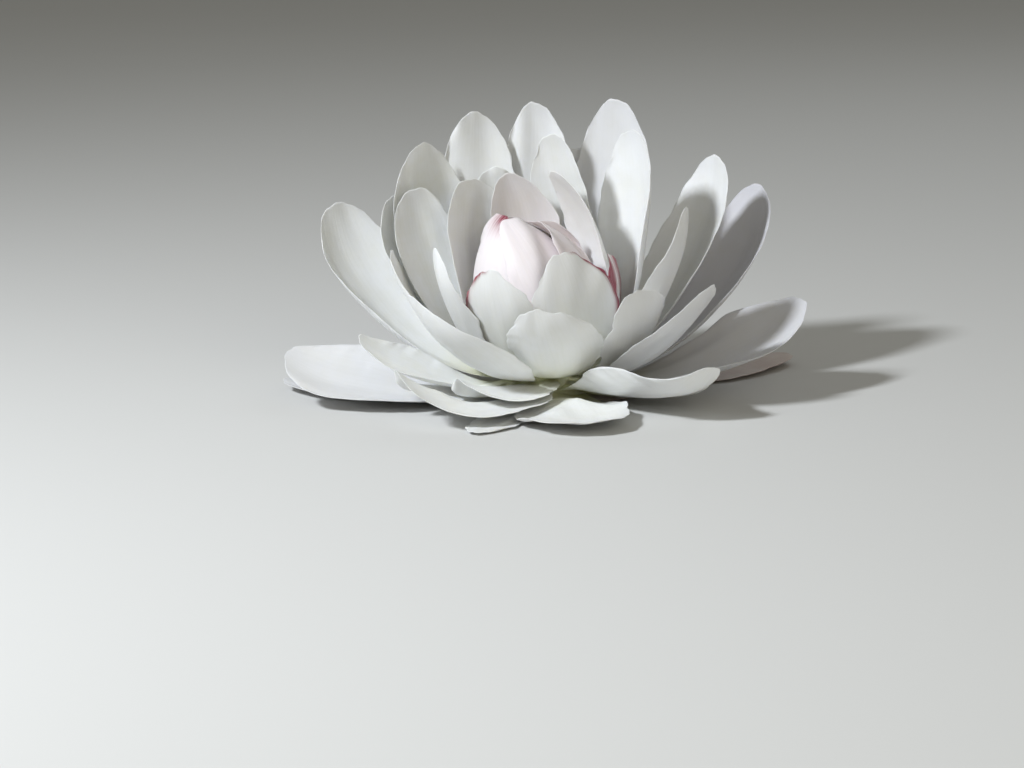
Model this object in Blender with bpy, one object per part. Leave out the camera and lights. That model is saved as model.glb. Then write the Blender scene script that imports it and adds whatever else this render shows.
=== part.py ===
"""Giant water lily flower on its first night, as picked and set down on a flat surface.

Every petal is a thin closed shell laid along one family of nested rib curves.  The family
runs from the closed cone in the middle (share 0) to the sepals lying flat (share 1), and
the petals are laid from the middle outwards, each one resting clear of those inside it.
Lengths are written in millimetres and turned into metres once, where the mesh is made.
"""
import bpy
import numpy as np

MM = 0.001
SHARP_ANGLE = np.radians(50.0)

# Receptacle: the short fleshy cone that carries every petal.
RECEPTACLE_HEIGHT = 29.0
RECEPTACLE_FOOT = 1.5
RECEPTACLE_BEVEL = 1.2
RECEPTACLE_SIDES = 40

# Stigma cup and stamen ring, hidden inside the closed cone: radius and height pairs.
STIGMA_PROFILE = [(0, 29.35), (4.0, 29.35), (4.4, 30.0), (4.4, 33.5), (3.4, 34.2), (0, 32.0)]
STIGMA_SIDES = 36
STAMEN_PROFILE = [(5.0, 29.4), (6.4, 29.4), (13.0, 31.2), (18.0, 35.5), (21.0, 41.0),
                  (19.0, 45.0), (13.0, 41.0), (8.0, 39.0), (5.3, 36.0)]
STAMEN_SIDES = 48

# Petal thickness, the clearance between layers and the size of the shell grid.
PETAL_THICKNESS = 1.1
RIM_SHARE = 0.45
LAYER_GAP = 1.7
ROOT_GAP = 0.9
ROWS = 10
COLUMNS = 6
NORMAL_STEP = 0.01
LIFT_ROWS = 60
LIFT_COLUMNS = 40

# Layer record: millimetres a row stands for, margin kept round a footprint in millimetres,
# slack on the room reserved, and the windows that spread reserved room and lift.
RECORD_STEP = 2.0
MARGINS_ALONG = (-2.0, 0.0, 2.0)
MARGINS_ACROSS = (-2.0, -1.0, 0.0, 1.0, 2.0)
ROOM_SLACK = 1.03
ROOM_REACH = 2
LIFT_REACH = 3

# Hooded tips: share of the cup that the tip turns inwards, and where that starts.  The cup
# follows a sine along the petal: the share of a half turn it reaches at the tip.
HOOD = 0.6
HOOD_START = 0.75
CUP_REACH = 0.85
CUP_POWER = 0.8

# Outline: where along the petal it is widest, and how much of the tip's corner is kept.
BELLY = 0.6
CORNER = 0.62
PATH_POWER = 1.2
TURN_LIMIT = np.radians(80.0)

# Width at the root as a share of the greatest width, and what each millimetre of heel adds.
ROOT_SHARE = 0.2
HEEL_SHARE = 0.055

# Shape of the closed cone's tip, which leans to one side.
CONE_LEAN_X = -19.0
CONE_LEAN_Y = -6.0
CONE_LEAN_START = 30.0
CONE_LEAN_HEIGHT = 70.0
CONE_LEAN_RADIUS = 48.0
LEAN_ROUNDS = 12

# Rib family: share, then lean from the horizontal in degrees at 0, 20, 40, 80, 120 and
# 170 mm along the rib.  The roots run down the receptacle's flank as the share grows.
ROOT_TOP = (10.0, 25.0)
ROOT_FOOT = (23.8, 0.9)
RIBS = np.array([
    [0.00, 0.0, 52.0, 98.0, 144.0, 176.0, 178.0],
    [0.12, 0.0, 44.0, 83.0, 100.0, 112.0, 122.0],
    [0.25, 0.0, 36.0, 70.0, 84.0, 89.0, 94.0],
    [0.40, 0.0, 26.0, 53.0, 69.0, 78.0, 86.0],
    [0.55, 0.0, 16.0, 34.0, 51.0, 63.0, 76.0],
    [0.70, 0.0, 9.0, 19.0, 36.0, 49.0, 62.0],
    [0.85, 0.0, 3.0, 7.0, 18.0, 32.0, 46.0],
    [0.95, 0.0, 0.0, 1.0, 8.0, 17.0, 30.0],
    [1.00, 0.0, 0.0, 0.0, 0.0, 0.0, 0.0],
])
RIB_STATIONS = np.array([0.0, 20.0, 40.0, 80.0, 120.0, 170.0])
RIB_LENGTH = 190
RIB_SHARES = 201
SMOOTH_ALONG = 9
SMOOTH_ACROSS = 6
SLOWEST_SPACING = 20.0
SLOWEST_LAYER_SPACING = 10.0
LEAST_RADIUS = 3.0

# Petals, from the middle outwards: name, tip azimuth, root azimuth (degrees, 0 to the
# right, 90 away), tip radius, tip height, greatest width, cup, heel, twist (mm), bluntness.
PETALS = [
    ("cone_petal_c", 80, 80, 1, 88, 60, 0, 0, 0, 1.7),
    ("cone_petal_a", 206, 208, 1, 96, 78, 0, 0, 0, 1.7),
    ("cone_petal_d", 290, 293, 1, 91, 54, 0, 0, 0, 1.4),
    ("cone_petal_b", 346, 344, 1, 83, 56, 0, 0, 0, 1.4),
    ("cone_petal_e", 120, 120, 5, 84, 24, 0, 0, 0, 1.8),
    ("cone_petal_f", 55, 55, 5, 84, 24, 0, 0, 0, 1.8),
    ("inner_petal_a", 60, 12, 18, 119, 36, 3, 0, 0, 1.3),
    ("inner_petal_b", 121, 96, 30, 116, 44, 3, 0, 0, 1.8),
    ("inner_petal_c", 141, 152, 49, 113, 48, 5, 0, 3, 1.9),
    ("inner_petal_d", 350, 350, 38, 76, 48, 4, 0, -4, 1.9),
    ("globe_petal_right", 286, 316, 42, 84, 62, 1, 0, -3, 1.3),
    ("inner_petal_e", 72, 66, 27, 137, 40, 3, 0, 0, 2.0),
    ("inner_petal_f", 27, 12, 60, 137, 48, 6, 0, -4, 2.0),
    ("inner_petal_g", 128, 125, 40, 119, 44, 5, 0, 3, 2.0),
    ("globe_petal_left", 246, 248, 66, 78, 48, 2, 0, 2, 1.4),
    ("upright_petal_d", 160, 168, 75, 108, 46, 4, 0, 14, 2.0),
    ("upright_petal_e", 147, 148, 79, 128, 58, 7, 0, 6, 2.1),
    ("upright_petal_a", 120, 123, 72, 143, 48, 7, 0, 3, 2.1),
    ("upright_petal_b", 91, 91, 68, 147, 42, 7, 0, 0, 2.1),
    ("upright_petal_c", 59, 54, 87, 147, 50, 7, 0, -2, 2.1),
    ("left_petal_a", 218, 213, 70, 86, 36, 4, 0, 7, 1.3),
    ("globe_petal_front", 270, 286, 80, 59, 52, 5, 0, 0, 2.0),
    ("right_petal_a", 333, 340, 86, 103, 46, 6, 0, -4, 1.6),
    ("upright_petal_f", 29, 22, 113, 117, 48, 7, 0, -4, 1.8),
    ("left_petal_b", 184, 196, 82, 79, 38, 5, 0, 5, 1.9),
    ("upright_petal_g", 154, 158, 92, 100, 48, 6, 0, 6, 2.0),
    ("right_petal_b", 303, 340, 88, 66, 50, 5, 0, -5, 1.9),
    ("right_petal_c", 323, 324, 108, 66, 48, 5, 0, -3, 2.0),
    ("left_petal_c", 222, 238, 90, 60, 60, 7, 0, 8, 2.1),
    ("upright_petal_h", 152, 166, 132, 92, 58, 11, 0, 9, 2.0),
    ("outer_petal_b", 99, 102, 86, 120, 48, 6, 0, 0, 2.0),
    ("outer_petal_c", 74, 78, 83, 122, 48, 6, 0, 0, 2.0),
    ("outer_petal_a", 34, 18, 148, 95, 68, 9, 0, 2, 2.2),
    ("outer_petal_d", 47, 42, 128, 62, 50, 6, 0, 0, 2.0),
    ("outer_petal_e", 130, 128, 118, 74, 50, 6, 0, 0, 2.0),
    ("outer_petal_f", 357, 346, 141, 43, 62, 10, 0, -12, 2.1),
    ("left_petal_d", 202, 212, 104, 37, 36, 5, 0, 9, 1.7),
    ("front_petal_a", 238, 256, 76, 17, 46, 4, 6, 8, 2.0),
    ("left_petal_e", 228, 248, 108, 20, 66, 8, 4, 18, 2.0),
    ("outer_petal_g", 182, 200, 140, 20, 56, 8, 0, 13, 2.1),
    ("outer_petal_h", 112, 108, 132, 54, 52, 7, 0, 0, 2.0),
    ("outer_petal_i", 66, 68, 135, 42, 52, 7, 0, 0, 2.0),
    ("right_petal_d", 315, 318, 122, 21, 56, 15, 4, 3, 1.7),
    ("front_petal_b", 281, 281, 111, 7, 60, 3, 12, 0, 2.2),
    ("outer_petal_j", 90, 88, 140, 28, 54, 6, 0, 0, 2.0),
    ("outer_petal_k", 140, 138, 140, 8, 52, 4, 0, 0, 2.0),
    ("outer_petal_l", 44, 38, 138, 9, 52, 4, 0, 0, 2.0),
    ("front_petal_c", 250, 252, 104, 2, 27, 0, 0, 0, 1.6),
    ("outer_petal_m", 168, 180, 145, 4, 50, 2, 2, 0, 2.0),
    ("sepal_a", 28, 27, 155, 4, 54, 0, 0, 0, 1.7),
    ("sepal_b", 118, 118, 138, 2, 54, 0, 0, 0, 1.7),
    ("sepal_c", 218, 218, 56, 2, 34, 0, 0, 0, 1.7),
    ("sepal_d", 342, 342, 50, 2, 28, 0, 0, 0, 1.7),
]


def smooth_box(values, reach):
    """Averages along the last axis over a window of 2 * reach + 1, ends held."""
    padded = np.pad(values, ((0, 0), (reach, reach)), mode="edge")
    sums = np.cumsum(np.pad(padded, ((0, 0), (1, 0))), axis=1)
    width = 2 * reach + 1
    return (sums[:, width:] - sums[:, :-width]) / width


def rib_family():
    """Radius and height of every rib at every millimetre, share by share."""
    shares = np.linspace(0.0, 1.0, RIB_SHARES)
    along = np.arange(RIB_LENGTH + 1.0)
    root_radius = ROOT_TOP[0] + (ROOT_FOOT[0] - ROOT_TOP[0]) * shares
    root_height = ROOT_TOP[1] + (ROOT_FOOT[1] - ROOT_TOP[1]) * shares
    columns = [np.interp(shares, RIBS[:, 0], RIBS[:, k]) for k in range(1, RIBS.shape[1])]
    stations = np.stack(columns, axis=1)
    lean = np.stack([np.interp(along, RIB_STATIONS, row) for row in stations])
    lean = np.radians(smooth_box(smooth_box(lean, SMOOTH_ALONG), SMOOTH_ALONG))
    lean = smooth_box(smooth_box(lean.T, SMOOTH_ACROSS), SMOOTH_ACROSS).T
    middle = 0.5 * (lean[:, 1:] + lean[:, :-1])
    zero = np.zeros((RIB_SHARES, 1))
    radius = root_radius[:, None] + np.hstack([zero, np.cumsum(np.cos(middle), axis=1)])
    height = root_height[:, None] + np.hstack([zero, np.cumsum(np.sin(middle), axis=1)])
    return np.stack([np.maximum(radius, 0.4), height], axis=-1)


FAMILY = rib_family()


def spacing_speed():
    """Clear distance between neighbouring ribs for one whole unit of share."""
    across = np.gradient(FAMILY, axis=0) * (RIB_SHARES - 1)
    along = np.gradient(FAMILY, axis=1)
    along /= np.linalg.norm(along, axis=-1, keepdims=True)
    return np.abs(across[..., 0] * along[..., 1] - across[..., 1] * along[..., 0])


SPEED = spacing_speed()


def look_up(table, share, along):
    """Reads a family table between its rows and columns."""
    row = np.clip(share, 0.0, 1.0) * (RIB_SHARES - 1)
    column = np.clip(along, 0.0, RIB_LENGTH)
    r0 = np.minimum(row.astype(int), RIB_SHARES - 2)
    c0 = np.minimum(column.astype(int), RIB_LENGTH - 1)
    fr, fc = row - r0, column - c0
    if table.ndim == 3:
        fr, fc = fr[..., None], fc[..., None]
    low = table[r0, c0] * (1 - fc) + table[r0, c0 + 1] * fc
    high = table[r0 + 1, c0] * (1 - fc) + table[r0 + 1, c0 + 1] * fc
    return low * (1 - fr) + high * fr


def rib_radius(share, along):
    """Radius of a rib point, never so small that an offset turns right round the axis."""
    return np.maximum(look_up(FAMILY, share, along)[..., 0], LEAST_RADIUS)


def solve_tip(radius, height):
    """Share and length of the rib that ends nearest to a tip position."""
    gap = np.hypot(FAMILY[..., 0] - radius, FAMILY[..., 1] - height)
    row, column = np.unravel_index(np.argmin(gap), gap.shape)
    return row / (RIB_SHARES - 1), float(column)


def lean_pull(radius, height):
    """Sideways shift of the closed cone, greatest at its tip and fading outwards."""
    pull = np.clip((height - CONE_LEAN_START) / CONE_LEAN_HEIGHT, 0.0, 1.2) ** 1.3
    pull = pull * np.exp(-(radius / CONE_LEAN_RADIUS) ** 2)
    return np.stack([CONE_LEAN_X * pull, CONE_LEAN_Y * pull], axis=-1)


def place(share, along, azimuth):
    """Points in millimetres for a share, a distance along the rib and an azimuth."""
    spot = look_up(FAMILY, share, along)
    radius, height = spot[..., 0], spot[..., 1]
    pull = lean_pull(radius, height)
    x = radius * np.cos(azimuth) + pull[..., 0]
    y = radius * np.sin(azimuth) + pull[..., 1]
    return np.stack([x, y, height], axis=-1)


def spread(values, reach):
    """Largest value in a square window, then the mean over the same window."""
    rows, columns = values.shape
    grown = np.pad(values, reach, mode="edge")
    best = values
    for i in range(2 * reach + 1):
        for j in range(2 * reach + 1):
            best = np.maximum(best, grown[i:i + rows, j:j + columns])
    grown = np.pad(best, reach, mode="edge")
    total = np.zeros_like(values)
    for i in range(2 * reach + 1):
        for j in range(2 * reach + 1):
            total += grown[i:i + rows, j:j + columns]
    return total / (2 * reach + 1) ** 2


class Petal:
    """One petal: its outline, its path and its share at every grid point."""

    def __init__(self, row):
        self.name, tip, root, radius, height = row[:5]
        self.width, self.cup, self.heel, self.twist, self.blunt = row[5:10]
        self.tip, self.root = np.radians(tip), np.radians(root)
        aim = np.array([radius * np.cos(self.tip), radius * np.sin(self.tip)])
        spot = aim
        rounds = 0 if self.name.startswith("cone") else LEAN_ROUNDS
        for _ in range(rounds):
            spot = aim - lean_pull(np.hypot(*spot), height)
        self.tip = np.arctan2(spot[1], spot[0])
        self.tip = self.root + (self.tip - self.root + np.pi) % (2 * np.pi) - np.pi
        self.share, self.length = solve_tip(np.hypot(*spot), height)
        self.lift = np.zeros((LIFT_ROWS + 1, LIFT_COLUMNS + 1))
        self.cap = np.ones((LIFT_ROWS + 1, LIFT_COLUMNS + 1))

    def outline(self, along_share, across):
        """Distance along and half-width offset for grid values u in 0..1 and v in -1..1."""
        rest, power = 1 - BELLY, self.blunt
        end = BELLY + rest * (1 - CORNER ** 2) ** (1 / power)
        reach = BELLY + rest * (1 - (CORNER * np.abs(across)) ** 2) ** (1 / power)
        edge = along_share * end
        rise = np.clip(edge / BELLY, 0, 1)
        narrow = min(ROOT_SHARE + HEEL_SHARE * self.heel, 1.0)
        lower = narrow + (1 - narrow) * np.sin(0.5 * np.pi * rise) ** 1.2
        upper = np.clip((edge - BELLY) / rest, 0, 1) ** power
        wide = 0.5 * self.width * lower * np.sqrt(1 - upper)
        return self.length * along_share * reach, wide * across

    def base_share(self, along, offset):
        """Share before the petal is pushed clear: cupped, hooded, heeled and twisted."""
        own = np.full_like(along, self.share)
        speed = np.maximum(look_up(SPEED, own, along), SLOWEST_SPACING)
        across, far = 2 * offset / self.width, along / self.length
        tip = np.clip((far - HOOD_START) / (1 - HOOD_START), 0, 1)
        push = -self.cup * across ** 2 * np.sin(np.pi * CUP_REACH * far ** CUP_POWER)
        push = push - HOOD * self.cup * tip ** 2 - self.heel * (1 - far) ** 2
        return np.maximum(self.share + (push + self.twist * across * far) / speed, 0.0)

    def azimuths(self, share, along, offset):
        """Azimuth of each grid point, from its offset across the petal."""
        path = np.clip(along / self.length, 0, 1) ** PATH_POWER
        turn = TURN_LIMIT * np.tanh(offset / rib_radius(share, along) / TURN_LIMIT)
        return self.root + (self.tip - self.root) * path + turn

    def footprint(self, share, along, offset):
        """Cells of the layer record that the petal covers, with a margin around it."""
        azimuth = self.azimuths(share, along, offset)
        radius = rib_radius(share, along)
        return [cells(along + i, azimuth + j / radius)
                for i in MARGINS_ALONG for j in MARGINS_ACROSS]

    def reserve(self, below):
        """Keeps room for the layers beneath the petal, then counts the petal as one."""
        u, v = lift_grid()
        along, offset = self.outline(u, v)
        wanted = self.base_share(along, offset)
        marks = self.footprint(wanted, along, offset)
        layers = spread(np.max([below[mark] for mark in marks], axis=0), ROOM_REACH)
        speed = np.maximum(look_up(SPEED, wanted, along), SLOWEST_LAYER_SPACING)
        self.cap = 1.0 - layers * LAYER_GAP * ROOM_SLACK / speed
        for mark in marks:
            np.maximum.at(below, mark, layers + 1)

    def settle(self, held):
        """Pushes the petal clear of the layers held so far, then adds it to them."""
        u, v = lift_grid()
        along, offset = self.outline(u, v)
        wanted = self.base_share(along, offset)
        room = np.clip(wanted, 0.0, np.maximum(self.cap, 0.0))
        speed = np.maximum(look_up(SPEED, room, along), SLOWEST_LAYER_SPACING)
        mark = cells(along, self.azimuths(room, along, offset))
        need = np.maximum(0.0, held[mark] + LAYER_GAP / speed - room)
        self.lift = room + spread(need, LIFT_REACH) - wanted
        share = wanted + self.lift
        for mark in self.footprint(share, along, offset):
            np.maximum.at(held, mark, share)

    def surface(self, u, v):
        """Middle surface of the petal in millimetres at grid values u, v."""
        along, offset = self.outline(u, v)
        share = self.base_share(along, offset) + read_grid(self.lift, u, v)
        return place(np.clip(share, 0, 1), along, self.azimuths(share, along, offset))


def lift_grid():
    """Grid values u and v where each petal's lift is worked out."""
    u, v = np.linspace(0, 1, LIFT_ROWS + 1), np.linspace(-1, 1, LIFT_COLUMNS + 1)
    return np.meshgrid(u, v, indexing="ij")


def read_grid(values, u, v):
    """Reads a lift grid between its points."""
    row, column = u * LIFT_ROWS, (v + 1) * LIFT_COLUMNS / 2
    r0 = np.minimum(row.astype(int), LIFT_ROWS - 1)
    c0 = np.minimum(column.astype(int), LIFT_COLUMNS - 1)
    fr, fc = row - r0, column - c0
    low = values[r0, c0] * (1 - fc) + values[r0, c0 + 1] * fc
    high = values[r0 + 1, c0] * (1 - fc) + values[r0 + 1, c0 + 1] * fc
    return low * (1 - fr) + high * fr


def cells(along, azimuth):
    """Row (2 mm steps) and column (degrees) of the layer record for grid points."""
    rows = np.clip(np.rint(along / RECORD_STEP).astype(int), 0, int(RIB_LENGTH / RECORD_STEP))
    return rows, np.rint(np.degrees(azimuth)).astype(int) % 360


def shell(petal):
    """Closed shell about the middle surface, thinner towards its margins."""
    u, v = np.meshgrid(np.linspace(0, 1, ROWS), np.linspace(-1, 1, COLUMNS + 1), indexing="ij")
    middle = petal.surface(u, v)
    low_u, high_u = np.clip(u - NORMAL_STEP, 0, 1), np.clip(u + NORMAL_STEP, 0, 1)
    low_v, high_v = np.clip(v - NORMAL_STEP, -1, 1), np.clip(v + NORMAL_STEP, -1, 1)
    du = petal.surface(high_u, v) - petal.surface(low_u, v)
    dv = petal.surface(u, high_v) - petal.surface(u, low_v)
    normal = np.cross(du, dv)
    normal /= np.linalg.norm(normal, axis=-1, keepdims=True)
    edge = np.maximum(np.abs(v) ** 3, u ** 8)
    half = 0.5 * PETAL_THICKNESS * (1 - (1 - RIM_SHARE) * edge)[..., None]
    points = np.concatenate([(middle + normal * half).reshape(-1, 3),
                             (middle - normal * half).reshape(-1, 3)])
    index = np.arange(ROWS * (COLUMNS + 1)).reshape(ROWS, COLUMNS + 1)
    a, b, c, d = index[:-1, :-1], index[1:, :-1], index[1:, 1:], index[:-1, 1:]
    top = np.stack([a, b, c, d], axis=-1).reshape(-1, 4)
    under = top[:, ::-1] + index.size
    ring = np.concatenate([index[:, 0], index[-1, 1:], index[-2::-1, -1], index[0, -2:0:-1]])
    after = np.roll(ring, -1)
    rim = np.stack([after, ring, ring + index.size, after + index.size], axis=-1)
    return points, np.concatenate([top, under, rim])


def flank(height):
    """Radius of the receptacle at a height: the line of the petal roots, less their gap."""
    share = (ROOT_TOP[1] - height) / (ROOT_TOP[1] - ROOT_FOOT[1])
    return ROOT_TOP[0] + (ROOT_FOOT[0] - ROOT_TOP[0]) * share - ROOT_GAP


def lathe(profile, sides, ripple=0.0, lobes=0):
    """Closed solid of revolution about the upright axis from radius and height pairs."""
    profile = np.asarray(profile, dtype=float)
    turn = np.arange(sides) * 2 * np.pi / sides
    points = []
    for radius, height in profile[1:-1]:
        reach = radius * (1 + ripple * np.cos(lobes * turn))
        points.append(np.stack([reach * np.cos(turn), reach * np.sin(turn),
                                np.full(sides, height)], axis=1))
    rings = len(points)
    foot, top = rings * sides, rings * sides + 1
    points.append(np.array([[0, 0, profile[0, 1]], [0, 0, profile[-1, 1]]]))
    faces = []
    for k in range(sides):
        n = (k + 1) % sides
        faces.append((foot, n, k))
        faces.append((top, (rings - 1) * sides + k, (rings - 1) * sides + n))
        for r in range(rings - 1):
            low, high = r * sides, (r + 1) * sides
            faces.append((low + k, low + n, high + n, high + k))
    return np.concatenate(points), faces


def ring_lathe(profile, sides, ripple, lobes):
    """Closed ring about the upright axis from a closed loop of radius and height pairs."""
    profile = np.asarray(profile, dtype=float)
    turn = np.arange(sides) * 2 * np.pi / sides
    count = len(profile)
    inner = profile[:, 0].min()
    share = (profile[:, 0] - inner) / (profile[:, 0].max() - inner)
    reach = profile[:, 0] * (1 + ripple * share * np.cos(lobes * turn)[:, None])
    points = np.stack([reach * np.cos(turn)[:, None], reach * np.sin(turn)[:, None],
                       np.broadcast_to(profile[:, 1], reach.shape)], axis=-1)
    index = np.arange(sides * count).reshape(sides, count)
    beside, above = np.roll(index, -1, axis=0), np.roll(index, -1, axis=1)
    corner = np.roll(beside, -1, axis=1)
    faces = np.stack([index, beside, corner, above], axis=-1).reshape(-1, 4)
    return points.reshape(-1, 3), faces


def add_object(name, points, faces, material):
    """Adds one mesh object, given in millimetres, with its material."""
    mesh = bpy.data.meshes.new(name)
    mesh.from_pydata((np.asarray(points) * MM).tolist(), [], [list(map(int, f)) for f in faces])
    mesh.update()
    mesh.shade_smooth()
    mesh.set_sharp_from_angle(angle=SHARP_ANGLE)
    mesh.materials.append(material)
    item = bpy.data.objects.new(name, mesh)
    bpy.context.scene.collection.objects.link(item)
    return item


def add_material(name, colour, roughness):
    """Adds a plain surface material."""
    material = bpy.data.materials.new(name)
    material.use_nodes = True
    shader = material.node_tree.nodes["Principled BSDF"]
    shader.inputs["Base Color"].default_value = (*colour, 1.0)
    shader.inputs["Roughness"].default_value = roughness
    return material


def main():
    """Builds the flower."""
    for item in list(bpy.data.objects):
        bpy.data.objects.remove(item)
    petal_skin = add_material("petal_white", (0.86, 0.87, 0.84), 0.45)
    cone_skin = add_material("cone_blush", (0.88, 0.80, 0.80), 0.45)
    sepal_skin = add_material("sepal_blush", (0.45, 0.34, 0.33), 0.5)
    flesh = add_material("receptacle_flesh", (0.72, 0.74, 0.42), 0.5)
    stigma = add_material("stigma_cream", (0.80, 0.76, 0.52), 0.6)
    pollen = add_material("stamen_cream", (0.83, 0.72, 0.45), 0.6)
    held = np.full((int(RIB_LENGTH / RECORD_STEP) + 1, 360), -9.0)
    below = np.zeros(held.shape)
    petals = [Petal(row) for row in PETALS]
    for petal in reversed(petals):
        petal.reserve(below)
    for petal in petals:
        petal.settle(held)
        points, faces = shell(petal)
        skin = petal_skin
        if petal.name.startswith("cone"):
            skin = cone_skin
        if petal.name.startswith("sepal"):
            skin = sepal_skin
        add_object(petal.name, points, faces, skin)
    shoulder = RECEPTACLE_HEIGHT - RECEPTACLE_BEVEL
    profile = [(0, 0), (flank(RECEPTACLE_FOOT) - RECEPTACLE_BEVEL, 0),
               (flank(RECEPTACLE_FOOT), RECEPTACLE_FOOT), (flank(shoulder), shoulder),
               (flank(shoulder) - RECEPTACLE_BEVEL, RECEPTACLE_HEIGHT), (0, RECEPTACLE_HEIGHT)]
    add_object("receptacle", *lathe(profile, RECEPTACLE_SIDES), flesh)
    add_object("stigma_cup", *lathe(STIGMA_PROFILE, STIGMA_SIDES, 0.04, 12), stigma)
    add_object("stamen_ring", *ring_lathe(STAMEN_PROFILE, STAMEN_SIDES, 0.05, 16), pollen)


main()
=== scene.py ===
"""Looks of a giant water lily flower on its first night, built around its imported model.

Every petal is a fine closed shell laid along one family of nested rib curves, from the
closed cone in the middle to the sepals that lie flat.  Forms are worked out in
millimetres, azimuths in degrees with 0 to the right and 90 away from the viewer, and
they become metres once, where a mesh is made.  ROOT_TOP and ROOT_FOOT are the radius and
height where the innermost and the outermost petals are rooted on the receptacle's flank.
"""
import logging
import math
from dataclasses import dataclass, field
from enum import Enum

import bpy
import numpy as np
from mathutils import Matrix, Vector


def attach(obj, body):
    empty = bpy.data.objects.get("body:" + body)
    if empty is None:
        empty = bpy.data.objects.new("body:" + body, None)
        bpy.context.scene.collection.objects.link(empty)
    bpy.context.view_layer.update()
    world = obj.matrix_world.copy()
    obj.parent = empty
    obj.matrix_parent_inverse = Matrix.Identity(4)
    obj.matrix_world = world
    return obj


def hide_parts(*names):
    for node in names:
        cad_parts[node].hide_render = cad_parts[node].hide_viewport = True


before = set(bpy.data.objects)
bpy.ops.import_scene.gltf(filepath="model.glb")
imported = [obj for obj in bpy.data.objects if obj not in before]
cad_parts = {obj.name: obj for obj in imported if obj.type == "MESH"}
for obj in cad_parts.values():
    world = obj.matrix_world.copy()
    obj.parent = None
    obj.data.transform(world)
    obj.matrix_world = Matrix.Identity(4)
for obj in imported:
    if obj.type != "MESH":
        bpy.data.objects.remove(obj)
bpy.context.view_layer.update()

LOG = logging.getLogger("water_lily")
MM = 0.001
BODY = "root"
PIECE_PREFIX = "lily_"
FULL_TURN = 2 * math.pi
TINY = 1e-9
ROOT_TOP = (10.0, 25.0)
ROOT_FOOT = (23.8, 0.9)
Grid = np.ndarray


class Kind(Enum):
    """Which whorl of the flower a petal belongs to."""

    CONE = "cone_petal"
    GLOBE = "globe"
    PETAL = "petal"
    SEPAL = "sepal"


@dataclass(frozen=True)
class Whorl:
    """What the petals of one whorl have in common.

    Attributes:
        slot: Name of the whorl's material slot; not used.
        notch: Depth of the waves cut into the tip's outline, in millimetres.
        green: Share of the length that the green of the root reaches.
        waves: Size of the blade's waves, 1 for a soft petal.
    """

    slot: str = "petal"
    notch: float = 2.2
    green: float = 0.17
    waves: float = 1.0


WHORLS = {
    Kind.CONE: Whorl(slot="cone_petal", notch=0.6),
    Kind.GLOBE: Whorl(notch=4.2, green=0.32),
    Kind.PETAL: Whorl(),
    Kind.SEPAL: Whorl(slot="sepal", waves=0.35),
}


# ---------------------------------------------------------------- the rib family


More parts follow.
